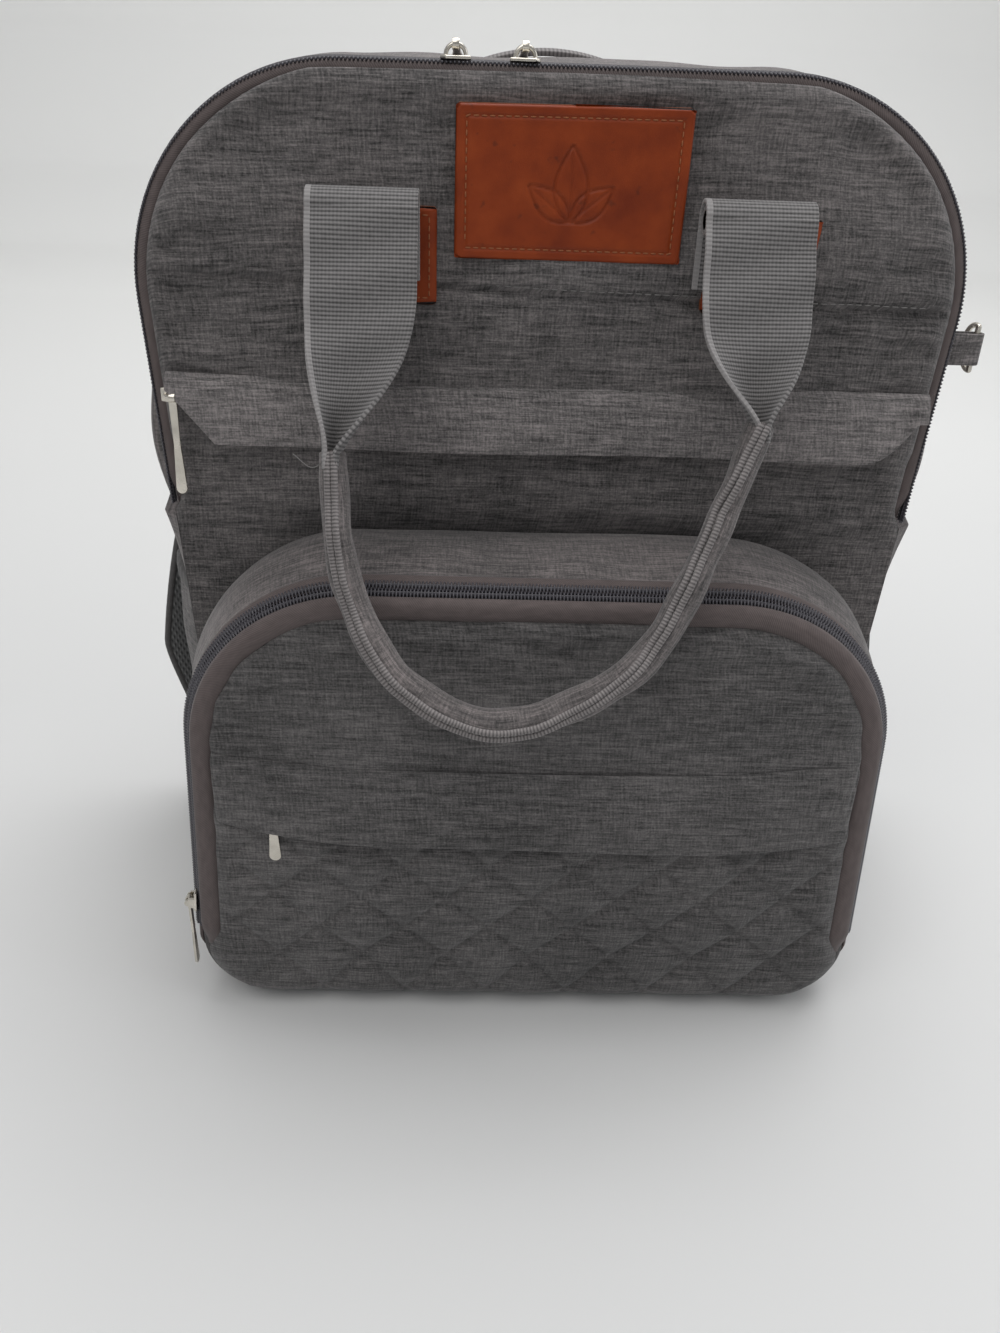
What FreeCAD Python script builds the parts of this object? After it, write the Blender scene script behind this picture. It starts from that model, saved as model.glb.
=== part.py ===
"""Diaper backpack: a fabric bag whose front panel and pocket unzip, with handles and shoulder straps.

Millimetres, +Z up. The front faces -Y and +X is on the right of someone who looks at the front.
The origin is on the flat base, midway across the bag and near the middle of its depth.
Every outline is drawn in X and Z, as corners with radii, and is thickened along Y.
"""

import FreeCAD, Part
import math
import os

V = FreeCAD.Vector

# Driving dimensions.
BAG_HEIGHT = 398.0
BASE_HALF = 146.0
TOP_HALF = 166.0
TOP_RADIUS = 81.0
BASE_RADIUS = 30.0
BACK_Y = 85.0
SHELL_BACK_Y = 79.0
SHELL_FRONT_Y = -19.0
WALL = 3.0
CLEARANCE = 0.3
LINER = 1.0
FOAM = 4.0
FOLD_Z = 226.0

POCKET_TOP = 216.0
POCKET_BOTTOM = 3.0
POCKET_BASE_HALF = 153.0
POCKET_TOP_HALF = 143.0
POCKET_RADIUS = 72.0
POCKET_FRONT_Y = -78.0
INSULATION = 2.5
ZIP_END_Z = 42.0

COIL = 3.0
COIL_GAP = 0.3
COIL_DEPTH = 2.2
COIL_PROUD = 0.8
TAPE = 0.8
TAPE_WIDTH = 11.5
TAPE_INSET = 0.5
REAR_TAPE = 9.0
REAR_TAPE_TAIL = 22.0
PANEL_INSET = 9.5
POCKET_PANEL_INSET = 6.5
PANEL = 5.0
SEAM_GAP = 2.0

WEBBING = 42.0
PLY = 1.6
HANDLE_X = 72.0
HANDLE_PIVOT_Y = -44.0
HANDLE_PIVOT_Z = 351.0
HANDLE_TILT = 20.5
HANDLE_DROP = 79.0
DROP_GAP = 5.9
DROP_WAIST = 0.52
INNER_ROLL = (1.9, 3.4)
OUTER_ROLL = (3.8, 5.3)
GRIP_SINK = 45.0
GRIP_BEHIND = 8.0
GRIP_RADIUS = 65.0
GRIP_WIDTH = 10.0
GRIP_THICK = 18.0
PINCH_X = 80.0

PATCH = (86.0, 52.0)
PATCH_Z = 360.0
LEATHER = 1.8
TAB_LOW = 317.0
TAB_TOP = 350.0
ROOT_LOW = 326.0
ROOT_FOOT = 8.0
ROOT_GAP = 6.2
WEATHER_TOP = 287.0
WEATHER_BOTTOM = 261.0
UPPER_ZIP_Z = 278.0
RING_Z = 300.0
RING_BAR_Y = -6.4
RING_TAB_REACH = 18.0
RING_WIRE = 1.2
WELT_TOP = 141.0
WELT_BOTTOM = 103.0
WELT_ZIP_Z = 128.0

STRAP_Y = 89.0
STRAP_THICK = 10.0
STRAP_ROUND = 3.5
YOKE = 2.5
ANCHOR = 2.2

BAG = [
    (-BASE_HALF, 0.0, BASE_RADIUS),
    (BASE_HALF, 0.0, BASE_RADIUS),
    (TOP_HALF, BAG_HEIGHT, TOP_RADIUS),
    (-TOP_HALF, BAG_HEIGHT, TOP_RADIUS),
]
POCKET = [
    (-POCKET_BASE_HALF, POCKET_BOTTOM, BASE_RADIUS),
    (POCKET_BASE_HALF, POCKET_BOTTOM, BASE_RADIUS),
    (POCKET_TOP_HALF, POCKET_TOP, POCKET_RADIUS),
    (-POCKET_TOP_HALF, POCKET_TOP, POCKET_RADIUS),
]

# The layers of each zip, from the shell forwards: rear coil, gap, front coil, front tape, panel.
MAIN_COIL_FRONT_Y = SHELL_FRONT_Y - COIL - COIL_GAP
MAIN_TAPE_Y = MAIN_COIL_FRONT_Y - COIL
MAIN_PANEL_Y = MAIN_TAPE_Y - TAPE
MAIN_FACE_Y = MAIN_PANEL_Y - PANEL
POCKET_COIL_FRONT_Y = POCKET_FRONT_Y - COIL - COIL_GAP
POCKET_TAPE_Y = POCKET_COIL_FRONT_Y - COIL
POCKET_PANEL_Y = POCKET_TAPE_Y - TAPE
POCKET_FACE_Y = POCKET_PANEL_Y - PANEL

nodes = {}


def side_x(corners, z):
    """Half the width of a tapering outline at height z, on its straight side."""
    (x0, z0, _), (x1, z1, _) = corners[1], corners[2]
    return x0 + (x1 - x0) * (z - z0) / (z1 - z0)


def inset_corners(corners, inset):
    """The outline's corners, anticlockwise in X and Z, after each side moves inwards by inset."""
    lines = []
    for (x0, z0, _), (x1, z1, _) in zip(corners, corners[1:] + corners[:1]):
        length = math.hypot(x1 - x0, z1 - z0)
        ux, uz = (x1 - x0) / length, (z1 - z0) / length
        lines.append((x0 - uz * inset, z0 + ux * inset, ux, uz))
    moved = []
    for i, (_, _, radius) in enumerate(corners):
        ax, az, au, aw = lines[i - 1]
        bx, bz, bu, bw = lines[i]
        t = ((bx - ax) * bw - (bz - az) * bu) / (au * bw - aw * bu)
        moved.append((ax + au * t, az + aw * t, max(radius - inset, 0.5)))
    return moved


def outline(corners, inset, y):
    """A closed wire of straight sides and tangent arcs, in the plane at y."""
    points = inset_corners(corners, inset)
    edges, last, first = [], None, None
    for i, (x, z, radius) in enumerate(points):
        before, after = points[i - 1], points[(i + 1) % len(points)]
        u = V(x - before[0], 0, z - before[1]).normalize()
        w = V(after[0] - x, 0, after[1] - z).normalize()
        half = u.getAngle(w) / 2
        corner = V(x, y, z)
        start = corner - u * (radius * math.tan(half))
        end = corner + w * (radius * math.tan(half))
        middle = corner + (w - u).normalize() * (radius / math.cos(half) - radius)
        if last is not None:
            edges.append(Part.makeLine(last, start))
        edges.append(Part.Arc(start, middle, end).toShape())
        first = first or start
        last = end
    edges.append(Part.makeLine(last, first))
    return Part.Wire(edges)


def plate(corners, inset, y_back, y_front):
    """The outline, thickened from y_back to y_front."""
    return Part.Face(outline(corners, inset, y_back)).extrude(V(0, y_front - y_back, 0))


def band(corners, outer, inner, y_back, y_front):
    """A ring that follows the outline, between two insets."""
    past = 1.0 if y_back > y_front else -1.0
    return plate(corners, outer, y_back, y_front).cut(plate(corners, inner, y_back + past, y_front - past))


def box(x0, x1, y0, y1, z0, z1):
    return Part.makeBox(x1 - x0, y1 - y0, z1 - z0, V(x0, y0, z0))


def above(shape, z):
    return shape.common(box(-500, 500, -500, 500, z, 900))


def below(shape, z):
    return shape.common(box(-500, 500, -500, 500, -100, z))


def polygon(points, y_back, y_front):
    """A flat piece from straight-sided points in X and Z, thickened along Y."""
    corners = [V(x, y_back, z) for x, z in points]
    wire = Part.makePolygon(corners + corners[:1])
    return Part.Face(wire).extrude(V(0, y_front - y_back, 0))


def arc_piece(curves, y_back, y_front):
    """A flat piece whose edge is a chain of lines (two points) and arcs (three points) in X and Z."""
    edges = []
    for curve in curves:
        p = [V(x, y_back, z) for x, z in curve]
        edges.append(Part.makeLine(*p) if len(p) == 2 else Part.Arc(*p).toShape())
    return Part.Face(Part.Wire(edges)).extrude(V(0, y_front - y_back, 0))


def cylinder(radius, length, centre, direction):
    """A cylinder whose middle is at centre."""
    d = V(*direction).normalize()
    return Part.makeCylinder(radius, length, V(*centre) - d * (length / 2), d)


def soften(shape, radius):
    """Rounds every edge, or returns the shape as it is where that can't be done."""
    try:
        rounded = shape.makeFillet(radius, shape.Edges)
        return rounded if rounded.isValid() and rounded.Volume > 0 else shape
    except Exception:
        return shape


def mirrored(shape):
    return shape.mirror(V(0, 0, 0), V(1, 0, 0))


def both_sides(name, shape):
    """Keeps the +X piece as NAME_right and its mirror image as NAME_left."""
    nodes[name + "_right"] = shape
    nodes[name + "_left"] = mirrored(shape)


# ---- The bag's fixed shell ----------------


def main_shell():
    """The gusset that runs round the sides, top and base, with the wall behind the front pocket."""
    nodes["gusset_shell"] = band(BAG, 0, WALL, SHELL_BACK_Y, SHELL_FRONT_Y)
    nodes["lower_front_wall"] = below(plate(BAG, 0, SHELL_FRONT_Y, MAIN_TAPE_Y), FOLD_Z - SEAM_GAP)
    nodes["back_panel"] = plate(BAG, 0, BACK_Y, SHELL_BACK_Y)
    inside = WALL + CLEARANCE
    foam_y = SHELL_BACK_Y - FOAM
    nodes["back_foam"] = plate(BAG, inside, SHELL_BACK_Y, foam_y)
    liner = band(BAG, inside, inside + LINER, foam_y, SHELL_FRONT_Y + 1)
    rear = plate(BAG, inside, foam_y, foam_y - LINER)
    nodes["lining"] = liner.fuse(rear).removeSplitter()
    floor, board, half = inside + LINER + 0.2, 2.5, 112.0
    nodes["base_board"] = box(-half, half, SHELL_FRONT_Y + 3, SHELL_BACK_Y - 8, floor, floor + board)


def main_zip():
    """Two coils and two tapes round the bag's front edge, down to the fold of the front panel."""
    low = FOLD_Z + SEAM_GAP
    rear_coil = band(BAG, -COIL_PROUD, COIL_DEPTH, SHELL_FRONT_Y, SHELL_FRONT_Y - COIL)
    nodes["main_zip_coil_rear"] = above(rear_coil, low)
    rear_tape = band(BAG, -COIL_PROUD, 0, SHELL_FRONT_Y + REAR_TAPE, SHELL_FRONT_Y)
    nodes["main_zip_tape_rear"] = above(rear_tape, low - REAR_TAPE_TAIL)
    front_coil = band(BAG, -COIL_PROUD, COIL_DEPTH, MAIN_COIL_FRONT_Y, MAIN_TAPE_Y)
    nodes["main_zip_coil_front"] = above(front_coil, low)
    front_tape = band(BAG, TAPE_INSET, TAPE_INSET + TAPE_WIDTH, MAIN_TAPE_Y, MAIN_PANEL_Y)
    nodes["main_zip_tape_front"] = above(front_tape, low)


def side_pocket():
    """A bottle pocket on the gusset's side: a bulged wall with a closed foot and an open top."""
    low, high, y0, y1, bulge, wall, base = 14.0, 180.0, -8.0, 66.0, 18.0, 2.0, 2.5
    x_low, x_high = side_x(BAG, low), side_x(BAG, high)
    middle = (y0 + y1) / 2

    def bowed(x, z, inset):
        start, end = V(x, y0 + 1.6 * inset, z), V(x, y1 - 1.6 * inset, z)
        arc = Part.Arc(start, V(x + bulge - inset, middle, z), end).toShape()
        return Part.Face(Part.Wire([arc, Part.makeLine(end, start)]))

    lean = V(x_high - x_low, 0, high - low)
    foot = lean * (base / lean.z)
    wall_piece = bowed(x_low, low, 0).extrude(lean).cut(bowed(x_low, low, wall).extrude(lean))
    both_sides("side_pocket", wall_piece.fuse(bowed(x_low, low, 0).extrude(foot)).removeSplitter())


# ---- The front panel, which opens forwards about its lower fold ----------------


def front_panel():
    low = FOLD_Z + SEAM_GAP
    nodes["upper_front_panel"] = above(plate(BAG, PANEL_INSET, MAIN_PANEL_Y, MAIN_FACE_Y), low)
    width, height = PATCH
    low, high = PATCH_Z - height / 2, PATCH_Z + height / 2
    nodes["leather_patch"] = box(-width / 2, width / 2, MAIN_FACE_Y - LEATHER, MAIN_FACE_Y, low, high)


def weather_flap():
    """A strip over the upper pocket's zip, sewn to the panel at its top, with slanting lower corners."""
    stand, ply, half, end, slant, sewn = 8.8, 1.6, 144.0, 7.0, 12.0, 3.0
    inner = MAIN_FACE_Y - stand
    outer = inner - ply
    top, low = WEATHER_TOP, WEATHER_BOTTOM
    shape = [(-half, top), (-half, top - end), (-half + slant, low)]
    shape += [(half - slant, low), (half, top - end), (half, top)]
    strip = polygon(shape, inner, outer)
    root = box(-half, half, outer, MAIN_FACE_Y, top - sewn, top)
    nodes["weather_flap"] = strip.fuse(root).removeSplitter()
    left, right, below_teeth, over_teeth = -150.0, 142.0, 6.0, 5.0
    zip_low, zip_top = UPPER_ZIP_Z - below_teeth, UPPER_ZIP_Z + over_teeth
    nodes["upper_pocket_zip"] = box(left, right, MAIN_FACE_Y - TAPE, MAIN_FACE_Y, zip_low, zip_top)


def handle_roots():
    """Leather tabs that hold the webbing's sewn ends on the panel."""
    x0, x1 = HANDLE_X - WEBBING / 2, HANDLE_X + WEBBING / 2
    face = MAIN_FACE_Y
    rear_ply_y = HANDLE_PIVOT_Y + ROOT_GAP
    leather = box(x0 - 1, x1 + 1, face - LEATHER, face, TAB_LOW, TAB_TOP)
    both_sides("handle_tab", leather)
    riser = box(x0, x1, rear_ply_y, rear_ply_y + PLY, ROOT_LOW, HANDLE_PIVOT_Z - 2)
    foot = box(x0, x1, rear_ply_y, face - LEATHER, ROOT_LOW, ROOT_LOW + ROOT_FOOT)
    both_sides("handle_root", riser.fuse(foot).removeSplitter())


def side_ring():
    """A fabric loop in the gusset's right-hand seam, and the metal D-ring that turns in it."""
    z, bar_y, half, outer, inner, cutter = RING_Z, RING_BAR_Y, 6.5, 2.8, 1.6, 9.0
    seam_x = side_x(BAG, z + half) + 0.1
    bar_x = seam_x + RING_TAB_REACH
    front = box(seam_x, bar_x, bar_y - outer, bar_y - inner, z - half, z + half)
    rear = box(seam_x, bar_x, bar_y + inner, bar_y + outer, z - half, z + half)
    turn = cylinder(outer, 2 * half, (bar_x, bar_y, z), (0, 0, 1))
    turn = turn.cut(cylinder(inner, 2 * half + 2, (bar_x, bar_y, z), (0, 0, 1)))
    turn = turn.common(box(bar_x, bar_x + cutter, bar_y - cutter, bar_y + cutter, z - half, z + half))
    nodes["side_ring_tab"] = front.fuse([rear, turn]).removeSplitter()
    wire, tall, deep = RING_WIRE, 9.0, 11.0
    low, high = V(bar_x, bar_y, z - tall), V(bar_x, bar_y, z + tall)
    bow = Part.Arc(low, V(bar_x, bar_y + deep, z), high).toShape()
    section = Part.Wire([Part.Circle(low, bow.tangentAt(bow.FirstParameter), wire).toShape()])
    arc = Part.Wire([bow]).makePipeShell([section], True, True)
    bar = cylinder(wire, 2 * tall, (bar_x, bar_y, z), (0, 0, 1))
    balls = [Part.makeSphere(wire, p) for p in (low, high)]
    nodes["side_ring"] = arc.fuse([bar] + balls).removeSplitter()


# ---- The front handle ----------------


def roll(inner, outer):
    """One ply of the webbing's two folds about the handle's axis, as one node of two rings."""
    rings = []
    for x in (-HANDLE_X, HANDLE_X):
        centre = (x, HANDLE_PIVOT_Y, HANDLE_PIVOT_Z)
        hollow = cylinder(inner, WEBBING + 1, centre, (1, 0, 0))
        rings.append(cylinder(outer, WEBBING - 1, centre, (1, 0, 0)).cut(hollow))
    return Part.makeCompound(rings)


def front_handle():
    """Two flat drops that narrow to a pinch, and a grip in a U between them, all leaning outwards."""
    nodes["handle_fold_inner"] = roll(*INNER_ROLL)
    nodes["handle_fold_outer"] = roll(*OUTER_ROLL)
    y_back = HANDLE_PIVOT_Y - DROP_GAP
    y_front = y_back - PLY
    top, pinch = HANDLE_PIVOT_Z, HANDLE_PIVOT_Z - HANDLE_DROP
    x0, x1 = HANDLE_X - WEBBING / 2, HANDLE_X + WEBBING / 2
    narrow = GRIP_WIDTH / 2
    waist = top - DROP_WAIST * HANDLE_DROP
    drop_shape = [(x0, top), (x0 + 1, waist), (PINCH_X - narrow, pinch)]
    drop_shape += [(PINCH_X + narrow, pinch), (x1 - 1, waist), (x1, top)]
    axis = (V(0, HANDLE_PIVOT_Y, HANDLE_PIVOT_Z), V(1, 0, 0), -HANDLE_TILT)
    both_sides("handle_webbing", polygon(drop_shape, y_back, y_front).rotate(*axis))
    centre_z = pinch - GRIP_SINK
    arc_x = GRIP_RADIUS
    inner, outer = arc_x - narrow, arc_x + narrow
    grip = arc_piece(
        [
            [(PINCH_X + narrow, pinch), (PINCH_X - narrow, pinch)],
            [(PINCH_X - narrow, pinch), (inner, centre_z)],
            [(inner, centre_z), (0, centre_z - inner), (-inner, centre_z)],
            [(-inner, centre_z), (-PINCH_X + narrow, pinch)],
            [(-PINCH_X + narrow, pinch), (-PINCH_X - narrow, pinch)],
            [(-PINCH_X - narrow, pinch), (-outer, centre_z)],
            [(-outer, centre_z), (0, centre_z - outer), (outer, centre_z)],
            [(outer, centre_z), (PINCH_X + narrow, pinch)],
        ],
        y_back + GRIP_BEHIND,
        y_back + GRIP_BEHIND - GRIP_THICK,
    )
    nodes["handle_grip"] = grip.rotate(*axis)


# ---- The front pocket ----------------


def front_pocket():
    """The pocket's gusset, insulating liner and zip, and the front that opens about the bottom seam."""
    walls = band(POCKET, 0, WALL, MAIN_TAPE_Y, POCKET_FRONT_Y)
    lip = below(band(POCKET, 0, WALL, POCKET_FRONT_Y, POCKET_COIL_FRONT_Y - TAPE_INSET), ZIP_END_Z)
    nodes["pocket_gusset"] = walls.fuse(lip).removeSplitter()
    inside, rear_y = WALL + CLEARANCE, MAIN_TAPE_Y - 0.2
    liner = band(POCKET, inside, inside + INSULATION, rear_y, POCKET_FRONT_Y + 1)
    rear = plate(POCKET, inside, rear_y, rear_y - 2.2)
    nodes["pocket_insulation"] = liner.fuse(rear).removeSplitter()
    low = ZIP_END_Z
    rear_coil = band(POCKET, -COIL_PROUD, COIL_DEPTH, POCKET_FRONT_Y, POCKET_FRONT_Y - COIL)
    nodes["pocket_zip_coil_rear"] = above(rear_coil, low)
    front_coil = band(POCKET, -COIL_PROUD, COIL_DEPTH, POCKET_COIL_FRONT_Y, POCKET_TAPE_Y)
    nodes["pocket_zip_coil_front"] = above(front_coil, low + 1)
    front_tape = band(POCKET, TAPE_INSET, TAPE_INSET + TAPE_WIDTH, POCKET_TAPE_Y, POCKET_PANEL_Y)
    nodes["pocket_zip_tape_front"] = above(front_tape, low + 1)
    nodes["pocket_front"] = plate(POCKET, POCKET_PANEL_INSET, POCKET_PANEL_Y, POCKET_FACE_Y)


def welt():
    """The strip over the small zip on the pocket's front, and that zip."""
    stand, ply, half, sewn = 6.0, 1.4, 134.0, 3.0
    inner = POCKET_FACE_Y - stand
    outer = inner - ply
    strip = box(-half, half, outer, inner, WELT_BOTTOM, WELT_TOP)
    root = box(-half, half, outer, POCKET_FACE_Y, WELT_TOP - sewn, WELT_TOP)
    nodes["pocket_welt"] = strip.fuse(root).removeSplitter()
    long_half, tape_half = 122.0, 6.0
    low, high = WELT_ZIP_Z - tape_half, WELT_ZIP_Z + tape_half
    nodes["pocket_welt_zip"] = box(-long_half, long_half, POCKET_FACE_Y - TAPE, POCKET_FACE_Y, low, high)


# ---- Zip sliders and pulls, drawn with the zip along X and the outer face up ----------------

SLIDER_LENGTH = 11.0
SLIDER_WIDTH = 8.0
SLIDER_PLATE = 1.2
BAIL_RADIUS = 3.6
BAIL_WIRE = 0.8
SLIDER_LIFT = 0.7
EYE_OUTER = 1.9
EYE_HOLE = 1.15
EYE_LENGTH = 2.4
PULL_LENGTH = 37.0
PULL_THICK = 1.3


def slider_plate():
    """The slider's outer wing, wider at the nose than at the tail, with its underside at zero."""
    half, nose, tail = SLIDER_LENGTH / 2, SLIDER_WIDTH / 2, SLIDER_WIDTH / 2 - 1.4
    rim = [V(-half, -tail, 0), V(half - 2, -nose, 0), V(half, -nose + 2, 0)]
    rim += [V(half, nose - 2, 0), V(half - 2, nose, 0), V(-half, tail, 0)]
    wing = Part.Face(Part.makePolygon(rim + rim[:1])).extrude(V(0, 0, SLIDER_PLATE))
    upper = [e for e in wing.Edges if min(v.Z for v in e.Vertexes) > SLIDER_PLATE - 0.01]
    return wing.makeFillet(0.45, upper)


def arch_slider():
    """A slider with a wire bail that arches along the zip."""
    ring = Part.makeTorus(BAIL_RADIUS, BAIL_WIRE, V(0, 0, SLIDER_PLATE), V(0, 1, 0))
    bail = ring.common(box(-9, 9, -9, 9, SLIDER_PLATE - 0.4, 20))
    return slider_plate().fuse(bail).removeSplitter()


def pin_slider():
    """A slider with two cheeks and a pin across the zip."""
    height = SLIDER_PLATE + 2.6
    cheeks = []
    for y in (-3.1, 2.1):
        cheek = box(-2.6, 2.6, y, y + 1.0, SLIDER_PLATE - 0.2, height)
        cheeks.append(cheek.fuse(cylinder(1.7, 1.0, (0, y + 0.5, height), (0, 1, 0))))
    pin = cylinder(BAIL_WIRE, 6.2, (0, 0, height), (0, 1, 0))
    return slider_plate().fuse(cheeks + [pin]).removeSplitter()


def stud_slider():
    """A slider with a headed stud that a flat pull turns on."""
    stud = Part.makeCylinder(1.0, 3.0, V(0, 0, SLIDER_PLATE - 0.2))
    head = Part.makeCylinder(1.8, 0.7, V(0, 0, SLIDER_PLATE + 2.1))
    return slider_plate().fuse([stud, head]).removeSplitter()


def tab(width_top, width_end, start, end):
    """A pull's flat blade along -Z, from start to end, thin along Y, with a rounded end."""
    top, low = width_top / 2, width_end / 2
    neck = -start - 0.45 * (end - start)
    points = [V(-top, 0, -start), V(top, 0, -start), V(top * 0.8, 0, neck), V(low, 0, -end + low)]
    edges = [Part.makeLine(points[0], points[1]), Part.makeLine(points[1], points[2])]
    edges += [Part.makeLine(points[2], points[3])]
    left_low = V(-low, 0, -end + low)
    edges += [Part.Arc(points[3], V(0, 0, -end), left_low).toShape()]
    left_neck = V(-top * 0.8, 0, neck)
    edges += [Part.makeLine(left_low, left_neck), Part.makeLine(left_neck, points[0])]
    blade = Part.Face(Part.Wire(edges)).extrude(V(0, PULL_THICK, 0)).translate(V(0, -PULL_THICK / 2, 0))
    return soften(blade, 0.35)


def eye_pull(length=PULL_LENGTH):
    """A pull that hangs along -Z from an eye whose axis is X, at the origin."""
    eye = cylinder(EYE_OUTER, EYE_LENGTH, (0, 0, 0), (1, 0, 0))
    joined = eye.fuse(tab(3.4, 4.6, EYE_OUTER - 0.5, length))
    return joined.cut(cylinder(EYE_HOLE, 9, (0, 0, 0), (1, 0, 0))).removeSplitter()


def flat_pull(length):
    """A flat pull that hangs along -Z and turns about a hole whose axis is Y, at the origin."""
    eye = cylinder(2.6, PULL_THICK, (0, 0, 0), (0, 1, 0))
    joined = eye.fuse(tab(4.0, 5.2, 1.8, length))
    return joined.cut(cylinder(1.35, 9, (0, 0, 0), (0, 1, 0))).removeSplitter()


def place(shape, x_axis, z_axis, origin):
    """Moves a shape so that its X and Z axes lie along the given directions, from the given origin."""
    x, z = V(*x_axis).normalize(), V(*z_axis).normalize()
    y = z.cross(x)
    rows = [x.x, y.x, z.x, origin[0], x.y, y.y, z.y, origin[1], x.z, y.z, z.z, origin[2], 0, 0, 0, 1]
    return shape.transformed(FreeCAD.Matrix(*rows))


MAIN_SLIDER_X = {"left": -39.5, "right": -14.5}
MAIN_SLIDER_Y = SHELL_FRONT_Y - COIL - COIL_GAP / 2
MAIN_SLIDER_Z = BAG_HEIGHT + COIL_PROUD + SLIDER_LIFT
PULL_LIE = 7.0
UPPER_SLIDER_X = -150.0
UPPER_SLIDER_Y = MAIN_FACE_Y - TAPE - CLEARANCE
POCKET_SLIDER_Z = 58.0
WELT_SLIDER_X = -112.0
WELT_SLIDER_Y = POCKET_FACE_Y - TAPE - CLEARANCE
WELT_PULL_LENGTH = 36.0


def main_sliders():
    """Two sliders, tails together, a little left of the middle. Their pulls lie back on the gusset."""
    eye_z = MAIN_SLIDER_Z + SLIDER_PLATE + BAIL_RADIUS
    for side, x in MAIN_SLIDER_X.items():
        slider = arch_slider()
        if side == "left":
            slider = slider.mirror(V(0, 0, 0), V(1, 0, 0))
        nodes["main_slider_" + side] = slider.translate(V(x, MAIN_SLIDER_Y, MAIN_SLIDER_Z))
        pull = eye_pull().rotate(V(0, 0, 0), V(1, 0, 0), 90 - PULL_LIE)
        nodes["main_pull_" + side] = pull.translate(V(x, MAIN_SLIDER_Y, eye_z))


def upper_pocket_slider():
    """The slider of the zip under the weather flap, at its left-hand end, with its pull hanging."""
    origin = (UPPER_SLIDER_X, UPPER_SLIDER_Y, UPPER_ZIP_Z)
    nodes["upper_pocket_slider"] = place(arch_slider(), (1, 0, 0), (0, -1, 0), origin)
    eye = V(UPPER_SLIDER_X, UPPER_SLIDER_Y - SLIDER_PLATE - BAIL_RADIUS, UPPER_ZIP_Z)
    nodes["upper_pocket_pull"] = eye_pull(40.0).translate(eye)


def pocket_slider():
    """The front pocket's slider, low on its left-hand side, with its pull hanging clear of the gusset."""
    x = -side_x(POCKET, POCKET_SLIDER_Z)
    up = V(POCKET_BASE_HALF - POCKET_TOP_HALF, 0, POCKET_TOP - POCKET_BOTTOM).normalize()
    out = V(-up.z, 0, up.x)
    y = POCKET_FRONT_Y - COIL - COIL_GAP / 2
    origin = V(x, y, POCKET_SLIDER_Z) + out * (COIL_PROUD + 0.5)
    nodes["pocket_slider"] = place(pin_slider(), -up, out, origin)
    eye = origin + out * (SLIDER_PLATE + 2.6)
    pull = eye_pull(38.0).rotate(V(0, 0, 0), V(0, 0, 1), 90)
    nodes["pocket_pull"] = pull.translate(eye)


def welt_slider():
    """The small zip's slider under the welt. Its flat pull shows below the welt's edge."""
    origin = (WELT_SLIDER_X, WELT_SLIDER_Y, WELT_ZIP_Z)
    nodes["welt_slider"] = place(stud_slider(), (-1, 0, 0), (0, -1, 0), origin)
    eye = V(WELT_SLIDER_X, WELT_SLIDER_Y - SLIDER_PLATE - 1.2, WELT_ZIP_Z)
    nodes["welt_pull"] = flat_pull(WELT_PULL_LENGTH).translate(eye)


# ---- The back: shoulder straps and haul loop ----------------


def shoulder_straps():
    """Padded straps that bow out from the yoke, with webbing from each pad to a tab at the lower corner."""
    front, back = STRAP_Y, STRAP_Y + STRAP_THICK
    pad = arc_piece(
        [
            [(30, 371), (84, 374)],
            [(84, 374), (172, 222), (207, 72)],
            [(207, 72), (206, 50), (188, 36)],
            [(188, 36), (154, 52)],
            [(154, 52), (124, 205), (30, 371)],
        ],
        front,
        back,
    )
    both_sides("strap_pad", soften(pad, STRAP_ROUND))
    lower = arc_piece(
        [
            [(155, 50), (187, 35)],
            [(187, 35), (172, 12), (146, 7)],
            [(146, 7), (134, 33)],
            [(134, 33), (149, 38), (155, 50)],
        ],
        STRAP_Y - 0.2,
        STRAP_Y + PLY,
    )
    both_sides("strap_webbing", lower)
    yoke = polygon([(-92, 352), (-80, 380), (80, 380), (92, 352)], BACK_Y, BACK_Y + YOKE)
    nodes["strap_yoke"] = yoke
    anchor = polygon([(104, 5), (146, 5), (141, 40), (104, 18)], BACK_Y, BACK_Y + ANCHOR)
    both_sides("strap_anchor", anchor)


def ladder_locks():
    """Plastic buckles with three bars, over the webbing just below each pad's end."""
    width, height, thick, rail, slot, lean = 38.0, 22.0, 3.2, 3.0, 5.2, 27.0
    frame = box(-width / 2, width / 2, 0, thick, -height, 0)
    for top in (-3.4, -12.6):
        frame = frame.cut(box(-width / 2 + rail, width / 2 - rail, -1, thick + 1, top - slot, top))
    frame = soften(frame, 0.7)
    frame = frame.rotate(V(0, 0, 0), V(0, 1, 0), lean)
    both_sides("ladder_lock", frame.translate(V(170, STRAP_Y + PLY + 0.1, 41)))


def haul_loop():
    """A short webbing loop at the top of the back, which stands in a shallow arch."""
    half, foot, rise, ply, y0, y1 = 58.0, 384.0, 20.0, 2.4, BACK_Y + 0.6, BACK_Y + 22
    loop = arc_piece(
        [
            [(-half, foot), (0, foot + rise), (half, foot)],
            [(half, foot), (half, foot - ply)],
            [(half, foot - ply), (0, foot + rise - ply), (-half, foot - ply)],
            [(-half, foot - ply), (-half, foot)],
        ],
        y0,
        y1,
    )
    nodes["haul_loop"] = loop


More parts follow.
